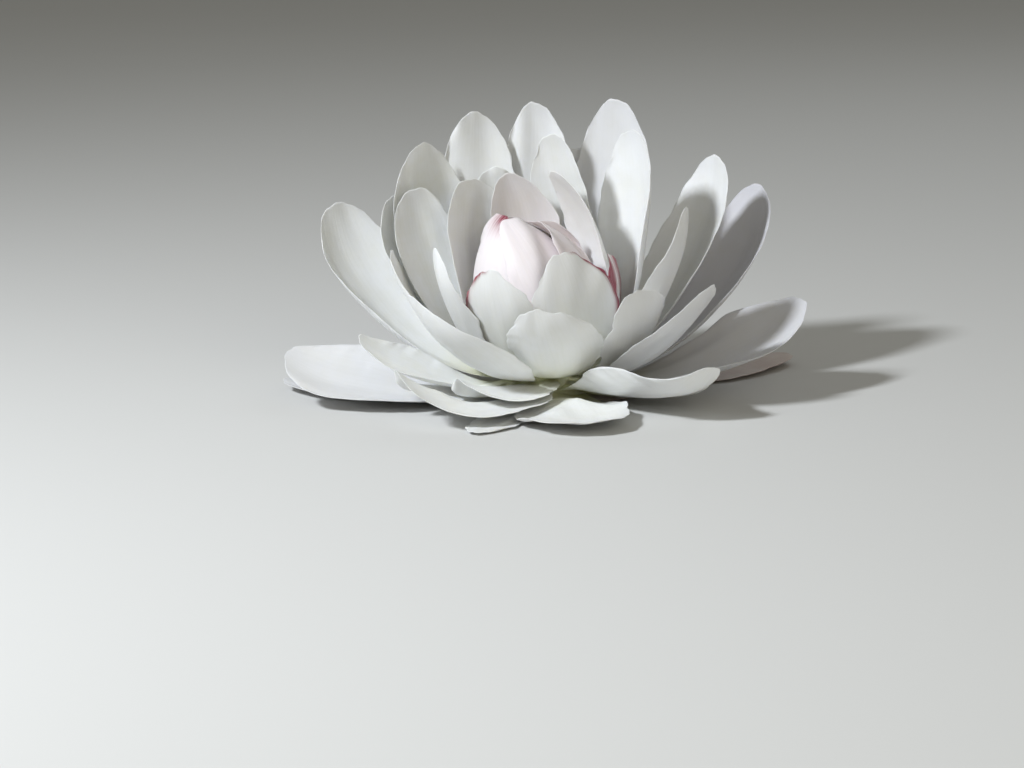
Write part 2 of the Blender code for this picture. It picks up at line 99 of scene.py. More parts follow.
@dataclass
class RibFamily:
    """Nested rib curves in the radius and height plane, from share 0 (cone) to 1 (flat).

    Attributes:
        stations: Distances from the root where the rows state the lean, in millimetres.
        rows: A share, then the lean from the horizontal at each station in degrees.
        length: Length of every rib in millimetres.
        shares: Number of ribs in the tables.
        smooth_along: Steps along a rib that the lean is averaged over on either side.
        smooth_across: Ribs that it is averaged over on either side.
        axis_gap: Least distance of a rib from the upright axis.
        least_radius: Least radius that an offset across a petal is divided by.
        lean_x: Shift of the cone's tip to the right, and lean_y away from the viewer.
        lean_start: Height where that shift begins, and lean_height what it grows over.
        lean_radius: Radius over which the shift fades outwards.
        lean_limit: Greatest share of lean_height that is counted, and lean_power the
            power that the share is raised to.
        table: Radius and height by rib and millimetre.
        speed: Clear distance between ribs, over the same grid.
    """

    stations: tuple = (0.0, 20.0, 40.0, 80.0, 120.0, 170.0)
    rows: tuple = (
        (0.00, 0.0, 52.0, 98.0, 144.0, 176.0, 178.0),
        (0.12, 0.0, 44.0, 83.0, 100.0, 112.0, 122.0),
        (0.25, 0.0, 36.0, 70.0, 84.0, 89.0, 94.0),
        (0.40, 0.0, 26.0, 53.0, 69.0, 78.0, 86.0),
        (0.55, 0.0, 16.0, 34.0, 51.0, 63.0, 76.0),
        (0.70, 0.0, 9.0, 19.0, 36.0, 49.0, 62.0),
        (0.85, 0.0, 3.0, 7.0, 18.0, 32.0, 46.0),
        (0.95, 0.0, 0.0, 1.0, 8.0, 17.0, 30.0),
        (1.00, 0.0, 0.0, 0.0, 0.0, 0.0, 0.0),
    )
    length: int = 190
    shares: int = 201
    smooth_along: int = 9
    smooth_across: int = 6
    axis_gap: float = 0.4
    least_radius: float = 3.0
    lean_x: float = -19.0
    lean_y: float = -6.0
    lean_start: float = 30.0
    lean_height: float = 70.0
    lean_radius: float = 48.0
    lean_limit: float = 1.2
    lean_power: float = 1.3
    table: Grid = field(init=False)
    speed: Grid = field(init=False)

    def __post_init__(self) -> None:
        """Works out the tables of positions and spacings once."""
        self.table = self.positions()
        self.speed = self.spacing()

    @staticmethod
    def box_mean(values: Grid, reach: int) -> Grid:
        """Averages along the last axis over 2 * reach + 1 values, with the ends held.

        Args:
            values: A table, smoothed along its last axis.
            reach: Values taken in on either side.

        Returns:
            The smoothed table.
        """
        padded = np.pad(values, ((0, 0), (reach, reach)), mode="edge")
        sums = np.cumsum(np.pad(padded, ((0, 0), (1, 0))), axis=1)
        width = 2 * reach + 1
        return (sums[:, width:] - sums[:, :-width]) / width

    def smooth(self, values: Grid, reach: int) -> Grid:
        """Averages along the last axis twice over, which leaves no corners."""
        return self.box_mean(self.box_mean(values, reach), reach)

    def positions(self) -> Grid:
        """Radius and height of every rib at every millimetre.

        The lean from the horizontal is read between the rows and stations and smoothed;
        the rib is the running sum of its cosine (radius) and sine (height) from the root.

        Returns:
            Table of shape (shares, length + 1, 2).
        """
        shares = np.linspace(0.0, 1.0, self.shares)
        along = np.arange(self.length + 1.0)
        slope = (ROOT_FOOT[0] - ROOT_TOP[0], ROOT_FOOT[1] - ROOT_TOP[1])
        rows = np.array(self.rows)
        columns = [np.interp(shares, rows[:, 0], rows[:, k]) for k in range(1, rows.shape[1])]
        stations = np.stack(columns, axis=1)
        lean = np.stack([np.interp(along, self.stations, row) for row in stations])
        lean = np.radians(self.smooth(lean, self.smooth_along))
        lean = self.smooth(lean.T, self.smooth_across).T
        middle = 0.5 * (lean[:, 1:] + lean[:, :-1])
        zero = np.zeros((self.shares, 1))
        radius = ROOT_TOP[0] + slope[0] * shares
        height = ROOT_TOP[1] + slope[1] * shares
        radius = radius[:, None] + np.hstack([zero, np.cumsum(np.cos(middle), axis=1)])
        height = height[:, None] + np.hstack([zero, np.cumsum(np.sin(middle), axis=1)])
        return np.stack([np.maximum(radius, self.axis_gap), height], axis=-1)

    def spacing(self) -> Grid:
        """Clear distance between neighbouring ribs for one whole unit of share.

        Returns:
            Cross product of the step between ribs with the direction along the rib.
        """
        across = np.gradient(self.table, axis=0) * (self.shares - 1)
        along = np.gradient(self.table, axis=1)
        along /= np.linalg.norm(along, axis=-1, keepdims=True)
        return np.abs(across[..., 0] * along[..., 1] - across[..., 1] * along[..., 0])

    def read(self, table: Grid, share: Grid, along: Grid) -> Grid:
        """Reads a family table between its rows and columns, by bilinear weights.

        Args:
            table: One of this family's tables.
            share: Share of each wanted point, 0 to 1.
            along: Distance of each wanted point along its rib, in millimetres.

        Returns:
            The table's values there.
        """
        row = np.clip(share, 0.0, 1.0) * (self.shares - 1)
        column = np.clip(along, 0.0, self.length)
        r0 = np.minimum(row.astype(int), self.shares - 2)
        c0 = np.minimum(column.astype(int), self.length - 1)
        fr, fc = row - r0, column - c0
        if table.ndim == 3:
            fr, fc = fr[..., None], fc[..., None]
        low = table[r0, c0] * (1 - fc) + table[r0, c0 + 1] * fc
        high = table[r0 + 1, c0] * (1 - fc) + table[r0 + 1, c0 + 1] * fc
        return low * (1 - fr) + high * fr

    def radius(self, share: Grid, along: Grid) -> Grid:
        """Distance from the upright axis, never less than the least radius."""
        return np.maximum(self.read(self.table, share, along)[..., 0], self.least_radius)

    def solve(self, radius: float, height: float) -> tuple:
        """Share and length of the rib that ends nearest to a tip position.

        Args:
            radius: Distance of the tip from the upright axis.
            height: Height of the tip.

        Returns:
            The share, and the distance along the rib in millimetres.
        """
        gap = np.hypot(self.table[..., 0] - radius, self.table[..., 1] - height)
        row, column = np.unravel_index(np.argmin(gap), gap.shape)
        return row / (self.shares - 1), float(column)

    def pull(self, radius: Grid, height: Grid) -> Grid:
        """Sideways shift of the closed cone: greatest at its tip, fading outwards.

        Args:
            radius: Distance of each point from the upright axis.
            height: Height of each point.

        Returns:
            Shift in x and y: a power of the rise, times the exponential of minus the
            square of the radius over the lean's.
        """
        rise = np.clip((height - self.lean_start) / self.lean_height, 0.0, self.lean_limit)
        rise = rise ** self.lean_power * np.exp(-(radius / self.lean_radius) ** 2)
        return np.stack([self.lean_x * rise, self.lean_y * rise], axis=-1)

    def place(self, share: Grid, along: Grid, azimuth: Grid) -> Grid:
        """Points for a share, a distance along the rib and an azimuth in radians.

        Args:
            share: Share of each point.
            along: Distance along the rib.
            azimuth: Turn about the upright axis.

        Returns:
            Points in millimetres: the rib's point turned by the azimuth, plus the lean.
        """
        spot = self.read(self.table, share, along)
        radius, height = spot[..., 0], spot[..., 1]
        pull = self.pull(radius, height)
        x = radius * np.cos(azimuth) + pull[..., 0]
        y = radius * np.sin(azimuth) + pull[..., 1]
        return np.stack([x, y, height], axis=-1)


# ---------------------------------------------------------------- one petal's form


@dataclass(frozen=True)
class Stain:
    """Colour marks of one petal.

    Attributes:
        low_edge: Crimson along the margin with the lower azimuth, 0 to 1.
        high_edge: Crimson along the margin with the higher azimuth.
        tip: Crimson at the tip.
        blush: Pink over the whole blade.
        outside: Crimson over the outer face, all but its middle.
        painted_shade: Painted shade, a mauve-grey cast over the whole petal where it stands in
            shadow or far from the light.
    """

    low_edge: float = 0.0
    high_edge: float = 0.0
    tip: float = 0.0
    blush: float = 0.0
    outside: float = 0.0
    # Strength of the painted shade: a mauve-grey cast for petals that stand in shadow.
    painted_shade: float = 0.0


@dataclass(frozen=True)
class PetalSpec:
    """Where one petal goes and how it is shaped, in millimetres and degrees.

    Attributes:
        name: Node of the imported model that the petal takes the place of.
        tip: Azimuth of the tip.
        root: Azimuth of the root.
        radius: Distance of the tip from the upright axis.
        height: Height of the tip.
        width: Greatest width.
        cup: How far the side margins are drawn inwards.
        heel: How far the root is drawn inwards.
        twist: How far the side with the higher azimuth is drawn outwards at the tip.
        blunt: Power of the tip's outline; higher is blunter.
        stain: Colour marks.
    """

    name: str
    tip: float
    root: float
    radius: float
    height: float
    width: float
    cup: float = 0.0
    heel: float = 0.0
    twist: float = 0.0
    blunt: float = 2.0
    stain: Stain = Stain()

    @property
    def kind(self) -> Kind:
        """Whorl that the petal's name puts it in."""
        for kind in (Kind.CONE, Kind.GLOBE, Kind.SEPAL):
            if self.name.startswith(kind.value):
                return kind
        return Kind.PETAL

    @property
    def whorl(self) -> Whorl:
        """What the petal shares with the rest of its whorl."""
        return WHORLS[self.kind]


@dataclass
class LayerRecord:
    """What the petals laid so far hold: the greatest share by distance and azimuth.

    Attributes:
        family: The ribs that the petals follow.
        step: Millimetres along the ribs to a row.
        gap: Distance kept between the middle surfaces of two layers, in millimetres.
        columns: Cells round the flower, one to a degree.
        nothing: Value of a cell that no petal holds.
        held: Greatest share in each cell.
        below: Number of layers that will still lie beneath, in each cell.
    """

    family: RibFamily
    step: float = 2.0
    gap: float = 1.7
    columns: int = 360
    nothing: float = -9.0
    held: Grid = field(init=False)
    below: Grid = field(init=False)

    def __post_init__(self) -> None:
        """Starts with nothing held."""
        shape = (int(self.family.length / self.step) + 1, self.columns)
        self.held = np.full(shape, self.nothing)
        self.below = np.zeros(shape)

    def cells(self, along: Grid, azimuth: Grid) -> tuple:
        """Row and column of the record for each point, a column to each degree."""
        rows = np.clip(np.rint(along / self.step).astype(int), 0, len(self.held) - 1)
        return rows, np.rint(np.degrees(azimuth)).astype(int) % self.columns

    @staticmethod
    def spread(values: Grid, reach: int) -> Grid:
        """Largest value in a square window, then the mean over the same window.

        Args:
            values: Grid of values.
            reach: Cells taken in on each side.

        Returns:
            Grid of the same shape, nowhere below the values by more than rounding.
        """
        rows, columns = values.shape
        span = range(2 * reach + 1)
        grown = np.pad(values, reach, mode="edge")
        best = np.max([grown[i:i + rows, j:j + columns] for i in span for j in span], axis=0)
        grown = np.pad(best, reach, mode="edge")
        total = sum(grown[i:i + rows, j:j + columns] for i in span for j in span)
        return total / (2 * reach + 1) ** 2


@dataclass
class Petal:
    """One petal: its outline, its path and its place among the layers.

    Attributes:
        spec: What is asked of this petal.
        family: The ribs that it follows.
        lift_rows: Steps of the lift's grid along the petal, and lift_columns across it.
        lift_reach: Grid cells that the lift is spread over on each side.
        room_reach: The same for the room kept beneath.
        room_slack: What that room is multiplied by, to leave a little more.
        margins_along: Steps along that its footprint is widened by, in millimetres.
        margins_across: The same across.
        slowest_spacing: Least spacing of the ribs that its own shape is divided by.
        slowest_layer_spacing: Least spacing that a layer's gap is divided by.
        belly: Share of the length where the petal is widest.
        belly_power: Power of the sine that its half-width grows by up to there.
        corner: How far across the tip's outline the side margins meet it, 0 to 1.
        hood: Share of the cup that the tip is drawn inwards by.
        hood_start: Where along the petal the hood begins.
        cup_reach: Share of a half turn that the cup's sine runs through to the tip.
        cup_power: Power of the place along in that sine.
        path_power: Power of the place along, in the turn from root to tip.
        turn_limit: Degrees that a half petal can wrap round the axis, at most.
        lean_rounds: Rounds in which the cone's lean is taken off the wanted tip.
        root_share: Width of the root as a share of the greatest width.
        heel_share: What each millimetre of heel adds to that share.
        tip: Azimuth of the tip before the lean, and root that of the root, in radians.
        share: Rib that the petal ends on, and length how far along it.
        cap: Greatest share that leaves room for the layers beneath, by grid point.
        lift: What is added to the share to push the petal clear, by grid point.
    """

    spec: PetalSpec
    family: RibFamily
    lift_rows: int = 60
    lift_columns: int = 40
    lift_reach: int = 3
    room_reach: int = 2
    room_slack: float = 1.03
    margins_along: tuple = (-2.0, 0.0, 2.0)
    margins_across: tuple = (-2.0, -1.0, 0.0, 1.0, 2.0)
    slowest_spacing: float = 20.0
    slowest_layer_spacing: float = 10.0
    belly: float = 0.6
    belly_power: float = 1.2
    corner: float = 0.62
    hood: float = 0.6
    hood_start: float = 0.75
    cup_reach: float = 0.85
    cup_power: float = 0.8
    path_power: float = 1.2
    turn_limit: float = 80.0
    lean_rounds: int = 12
    root_share: float = 0.2
    heel_share: float = 0.055
    tip: float = field(init=False)
    root: float = field(init=False)
    share: float = field(init=False)
    length: float = field(init=False)
    cap: Grid = field(init=False)
    lift: Grid = field(init=False)

    def __post_init__(self) -> None:
        """Finds the rib whose end, leaned with the cone, meets the wanted tip."""
        spec = self.spec
        tip, self.root = math.radians(spec.tip), math.radians(spec.root)
        aim = np.array([spec.radius * math.cos(tip), spec.radius * math.sin(tip)])
        spot = aim
        for _ in range(0 if spec.kind is Kind.CONE else self.lean_rounds):
            spot = aim - self.family.pull(np.hypot(*spot), spec.height)
        turn = math.atan2(spot[1], spot[0]) - self.root
        self.tip = self.root + (turn + math.pi) % FULL_TURN - math.pi
        self.share, self.length = self.family.solve(np.hypot(*spot), spec.height)
        shape = (self.lift_rows + 1, self.lift_columns + 1)
        self.cap, self.lift = np.ones(shape), np.zeros(shape)

    def lift_grid(self) -> tuple:
        """Grid values u (0 to 1) and v (-1 to 1) where the lift is worked out."""
        return np.meshgrid(np.linspace(0, 1, self.lift_rows + 1),
                           np.linspace(-1, 1, self.lift_columns + 1), indexing="ij")

    def outline(self, u: Grid, v: Grid) -> tuple:
        """Distance along the petal and offset across it.

        The tip's outline is y = belly + (1 - belly) (1 - x**2)**(1 / blunt) and each
        line of even v runs to it; the half-width grows by a sine to the belly and falls
        as the square root of 1 - t**blunt above it.

        Args:
            u: Share of the way to the tip's outline.
            v: Share of the way to the side, -1 to 1.

        Returns:
            Distances and offsets in millimetres.
        """
        power, half = self.spec.blunt, 0.5 * self.spec.width
        rest = 1 - self.belly
        end = self.belly + rest * (1 - self.corner ** 2) ** (1 / power)
        reach = self.belly + rest * (1 - (self.corner * np.abs(v)) ** 2) ** (1 / power)
        edge = u * end
        narrow = min(self.root_share + self.heel_share * self.spec.heel, 1.0)
        rise = np.sin(0.5 * np.pi * np.clip(edge / self.belly, 0, 1)) ** self.belly_power
        lower = narrow + (1 - narrow) * rise
        upper = np.clip((edge - self.belly) / rest, 0, 1) ** power
        return self.length * u * reach, half * lower * np.sqrt(1 - upper) * v

    def base_share(self, along: Grid, offset: Grid) -> Grid:
        """Share before the petal is pushed clear: cupped, hooded, heeled and twisted.

        The cup grows with the square of the place across, the hood with the square of the
        last stretch to the tip, the heel with the square of the way back to the root, and
        the twist with the place across times the place along.

        Args:
            along: Distance along the petal.
            offset: Distance across it.

        Returns:
            The own share plus those pushes over the spacing of the ribs.
        """
        spec, own = self.spec, np.full_like(along, self.share)
        speed = self.family.read(self.family.speed, own, along)
        speed = np.maximum(speed, self.slowest_spacing)
        across, far = 2 * offset / spec.width, along / self.length
        tip = np.clip((far - self.hood_start) / (1 - self.hood_start), 0, 1)
        arch = np.sin(np.pi * self.cup_reach * far ** self.cup_power)
        push = -spec.cup * across ** 2 * arch
        push = push - self.hood * spec.cup * tip ** 2 - spec.heel * (1 - far) ** 2
        return np.maximum(self.share + (push + spec.twist * across * far) / speed, 0.0)

    def azimuths(self, share: Grid, along: Grid, offset: Grid) -> Grid:
        """Azimuth of each point: from root to tip, plus the offset over the radius.

        Args:
            share: Share of each point.
            along: Distance along the petal.
            offset: Distance across it.

        Returns:
            Azimuths in radians, the wrap held under its limit by a hyperbolic tangent.
        """
        path = np.clip(along / self.length, 0, 1) ** self.path_power
        turn = offset / self.family.radius(share, along)
        limit = math.radians(self.turn_limit)
        return self.root + (self.tip - self.root) * path + limit * np.tanh(turn / limit)

    def footprint(self, record: LayerRecord, share: Grid, along: Grid, offset: Grid) -> list:
        """Cells of the record under the petal, with a small margin around it.

        Args:
            record: Record whose cells are meant.
            share: Share of each grid point.
            along: Distance along the petal.
            offset: Distance across it.

        Returns:
            Rows and columns, one pair for each step of the margin.
        """
        azimuth = self.azimuths(share, along, offset)
        radius = self.family.radius(share, along)
        return [record.cells(along + i, azimuth + j / radius)
                for i in self.margins_along for j in self.margins_across]

    def layer_spacing(self, share: Grid, along: Grid) -> Grid:
        """Spacing of the ribs that a layer's gap is divided by, held above a least value."""
        speed = self.family.read(self.family.speed, share, along)
        return np.maximum(speed, self.slowest_layer_spacing)

    def reserve(self, record: LayerRecord) -> None:
        """Keeps room for the layers beneath, then counts this petal as one of them.

        Args:
            record: Record of the layers, filled from the outermost petal inwards.
        """
        u, v = self.lift_grid()
        along, offset = self.outline(u, v)
        wanted = self.base_share(along, offset)
        marks = self.footprint(record, wanted, along, offset)
        layers = np.max([record.below[mark] for mark in marks], axis=0)
        layers = record.spread(layers, self.room_reach)
        speed = self.layer_spacing(wanted, along)
        self.cap = 1.0 - layers * record.gap * self.room_slack / speed
        for mark in marks:
            np.maximum.at(record.below, mark, layers + 1)

    def settle(self, record: LayerRecord) -> None:
        """Pushes the petal clear of the layers held so far, then adds it to them.

        Args:
            record: Record of the layers, filled from the innermost petal outwards.
        """
        u, v = self.lift_grid()
        along, offset = self.outline(u, v)
        wanted = self.base_share(along, offset)
        room = np.clip(wanted, 0.0, np.maximum(self.cap, 0.0))
        speed = self.layer_spacing(room, along)
        mark = record.cells(along, self.azimuths(room, along, offset))
        need = np.maximum(0.0, record.held[mark] + record.gap / speed - room)
        self.lift = room + record.spread(need, self.lift_reach) - wanted
        share = wanted + self.lift
        for mark in self.footprint(record, share, along, offset):
            np.maximum.at(record.held, mark, share)

    def read_lift(self, u: Grid, v: Grid) -> Grid:
        """Reads the lift between its grid points, by bilinear weights.

        Args:
            u: Share of the way to the tip.
            v: Share of the way to the side.

        Returns:
            The lift, in shares.
        """
        row, column = u * self.lift_rows, (v + 1) * self.lift_columns / 2
        r0 = np.clip(row.astype(int), 0, self.lift_rows - 1)
        c0 = np.clip(column.astype(int), 0, self.lift_columns - 1)
        fr, fc = row - r0, column - c0
        low = self.lift[r0, c0] * (1 - fc) + self.lift[r0, c0 + 1] * fc
        high = self.lift[r0 + 1, c0] * (1 - fc) + self.lift[r0 + 1, c0 + 1] * fc
        return low * (1 - fr) + high * fr

    def surface(self, u: Grid, v: Grid, margin: Grid = 0.0, notch: Grid = 0.0) -> Grid:
        """Middle surface of the petal.

        Args:
            u: Share of the way to the tip.
            v: Share of the way to the side.
            margin: Extra offset across in millimetres, for an uneven margin.
            notch: Extra distance along in millimetres, for an uneven tip.

        Returns:
            Points in millimetres.
        """
        along, offset = self.outline(u, v)
        share = np.clip(self.base_share(along, offset) + self.read_lift(u, v), 0, 1)
        turn = self.azimuths(share, along, offset + margin)
        return self.family.place(share, along + notch, turn)


# ---------------------------------------------------------------- meshes


@dataclass
class Skin:
    """Points, faces and per-point values of a mesh, in millimetres until it is made.

    Attributes:
        points: Place of each point.
        faces: Points of each face, three or four.
        uv: Shares across and along, for each point.
        stain: Crimson, blush, green root and outer side, for each point.
        tone: 0 to 1 for a petal's own shade of white, or 1 plus the strength of its painted
            shade.
    """

    points: Grid
    faces: Grid
    uv: Grid
    stain: Grid
    tone: Grid

    def make(self, name: str) -> bpy.types.Object:
        """Puts the arrays into a new mesh object at the origin.

        Args:
            name: Name of the piece.

        Returns:
            The linked object.
        """
        mesh = bpy.data.meshes.new(name)
        mesh.vertices.add(len(self.points))
        mesh.vertices.foreach_set("co", (self.points * MM).astype(np.float32).ravel())
        mesh.loops.add(self.faces.size)
        mesh.loops.foreach_set("vertex_index", self.faces.astype(np.int32).ravel())
        mesh.polygons.add(len(self.faces))
        corners = self.faces.shape[1]
        starts = np.arange(0, self.faces.size, corners, dtype=np.int32)
        mesh.polygons.foreach_set("loop_start", starts)
        mesh.update(calc_edges=True)
        layer = mesh.uv_layers.new(name="petal_uv")
        layer.data.foreach_set("uv", self.uv[self.faces.ravel()].astype(np.float32).ravel())
        marks = mesh.attributes.new("stain", "FLOAT_COLOR", "POINT")
        marks.data.foreach_set("color", self.stain.astype(np.float32).ravel())
        tone = mesh.attributes.new("tone", "FLOAT", "POINT")
        tone.data.foreach_set("value", self.tone.astype(np.float32))
        mesh.shade_smooth()
        mesh.validate()
        item = bpy.data.objects.new(name, mesh)
        bpy.context.scene.collection.objects.link(item)
        return item


@dataclass
class Ripple:
    """Gentle unevenness of a petal: seeded waves over its blade, its margin and its tip.

    Attributes:
        seed: Seed of the phases.
        notch: Greatest depth of the waves cut into the tip's outline.
        blade: Size of the waves over the blade.
        margin: Size of the waves along the side margins.
        groove: Depth of the groove down the middle, and groove_width its half-width in v.
        pleat: Height of the lengthwise pleats, and pleats their half turns across.
        inset: Length that the whole tip outline loses, beyond its waves.
        blade_fade: Share of the length over which the blade's waves grow from the root.
        margin_fade: The same for the margin's waves.
        margin_waves: Share of the margin's size, and turns along it, of each wave.
        tip_waves: Share of the notch, and radians across a half petal, of each wave.
        phase: Phases drawn from the seed, in radians.
    """

    seed: int
    notch: float = 2.2
    blade: float = 0.55
    margin: float = 0.85
    groove: float = 0.3
    groove_width: float = 0.16
    pleat: float = 0.22
    pleats: float = 4.2
    inset: float = 0.3
    blade_fade: float = 0.35
    margin_fade: float = 0.3
    margin_waves: tuple = ((1.0, 2.3), (0.6, 5.1), (0.35, 11.0))
    tip_waves: tuple = ((0.55, 3.4), (0.3, 8.5), (0.15, 19.0))
    phase: Grid = field(init=False)

    def __post_init__(self) -> None:
        """Draws the phases once, so that every build gives the same petal."""
        self.phase = np.random.default_rng(self.seed).uniform(0, FULL_TURN, 12)

    def height(self, u: Grid, v: Grid) -> Grid:
        """Lift off the middle surface: crossing waves and pleats, less a middle groove.

        The first wave is a sine along times a cosine across, the next two run aslant, and
        the pleats are a cosine across times a sine along.  The groove falls off as the
        exponential of minus the square of v over its width.

        Args:
            u: Share of the way to the tip.
            v: Share of the way to the side.

        Returns:
            Millimetres along the normal, zero at the root.
        """
        p = self.phase
        wave = 0.45 * np.sin(FULL_TURN * 1.1 * u + p[0]) * np.cos(math.pi * 1.3 * v + p[1])
        wave = wave + 0.35 * np.sin(FULL_TURN * (0.7 * u + 0.9 * v) + p[2])
        wave = wave + 0.20 * np.sin(FULL_TURN * (1.9 * u - 1.6 * v) + p[3])
        pleat = np.cos(math.pi * self.pleats * v + p[9]) * np.sin(math.pi * u)
        wave = wave + self.pleat * pleat
        crease = np.exp(-(v / self.groove_width) ** 2) * np.sin(math.pi * u ** 0.8)
        fade = np.clip(u / self.blade_fade, 0, 1) ** 1.5
        return (self.blade * wave - self.groove * crease) * fade

    def sway(self, u: Grid, v: Grid) -> Grid:
        """Sideways wander of the margin, growing with the fourth power of v.

        Each wave is a sine along the margin; the two sides of a petal are out of step.

        Args:
            u: Share of the way to the tip.
            v: Share of the way to the side.

        Returns:
            Extra offset across in millimetres.
        """
        side = np.where(v < 0, 0.0, 2.1)
        phases = (self.phase[4] + side, self.phase[5] - side, self.phase[6] + 2 * side)
        wave = sum(size * np.sin(FULL_TURN * turns * u + phase)
                   for (size, turns), phase in zip(self.margin_waves, phases))
        fade = np.clip(u / self.margin_fade, 0, 1)
        return self.margin * wave * np.sign(v) * v ** 4 * fade

    def notches(self, u: Grid, v: Grid) -> Grid:
        """Length lost at the tip's outline, in seeded waves across it, never gained.

        The loss is the inset plus the notch times half of one plus the waves, and it
        grows with the ninth power of u, so that only the tip feels it.

        Args:
            u: Share of the way to the tip.
            v: Share of the way to the side.

        Returns:
            Extra distance along in millimetres, nowhere above zero.
        """
        phases = (self.phase[7], self.phase[8], self.phase[10])
        wave = sum(size * np.sin(turns * v + phase)
                   for (size, turns), phase in zip(self.tip_waves, phases))
        return -(self.inset + self.notch * (0.5 + 0.5 * wave)) * u ** 9


@dataclass(frozen=True)
class MarkSizes:
    """Sizes of the colour marks, as shares of a petal's length or of its half-width.

    Attributes:
        start: Where along the petal the crimson of its sides begins.
        start_fade: Length over which it reaches its full strength.
        band: Half-width that a crimson side margin takes up.
        face: Half-width from each side margin that a stained outer face takes up.
        tip_length: Length of the crimson tip mark.
        tip_width: Half-width of that mark.
        tip_side: Its distance from the middle.
        crest: Length of the crimson line along the tip's outline, near the middle.
        crest_growth: What that line gains towards the sides.
        crest_from: Where across the petal it begins to gain.
        crest_fade: Half-width over which it gains.
        crest_rise: Half-width over which the line itself grows out of nothing.
    """

    start: float = 0.12
    start_fade: float = 0.3
    band: float = 0.24
    face: float = 0.75
    tip_length: float = 0.13
    tip_width: float = 0.27
    tip_side: float = 0.15
    crest: float = 0.016
    crest_growth: float = 0.048
    crest_from: float = 0.3
    crest_fade: float = 0.35
    crest_rise: float = 0.4

    def crimson(self, stain: Stain, u: Grid, v: Grid, outer: float) -> Grid:
        """Strength of the crimson: the strongest of the five marks at each point.

        The side bands and the stained face are exponentials of minus a power of the way
        in from the margin; the tip mark is a bell both ways; the crest is a bell along u
        that widens towards the sides.

        Args:
            stain: Strength of each mark.
            u: Share of the way to the tip.
            v: Share of the way to the side.
            outer: 1 on the outer face and 0 on the inner.

        Returns:
            Values from 0 to 1.
        """
        inwards = 1 - np.abs(v)
        run = np.clip((u - self.start) / self.start_fade, 0, 1)
        low = stain.low_edge * np.exp(-((1 + v) / self.band) ** 3)
        high = stain.high_edge * np.exp(-((1 - v) / self.band) ** 3)
        face = stain.outside * outer * np.exp(-(inwards / self.face) ** 4)
        tip = stain.tip * np.exp(-((1 - u) / self.tip_length) ** 2)
        tip = tip * np.exp(-((v - self.tip_side) / self.tip_width) ** 2)
        side = np.where(v < 0, stain.low_edge, stain.high_edge)
        side = side * np.clip(np.abs(v) / self.crest_rise, 0, 1)
        gain = np.clip((np.abs(v) - self.crest_from) / self.crest_fade, 0, 1)
        crest = side * np.exp(-((1 - u) / (self.crest + self.crest_growth * gain)) ** 2)
        return np.clip(np.maximum.reduce([low * run, high * run, face * run, tip, crest]), 0, 1)


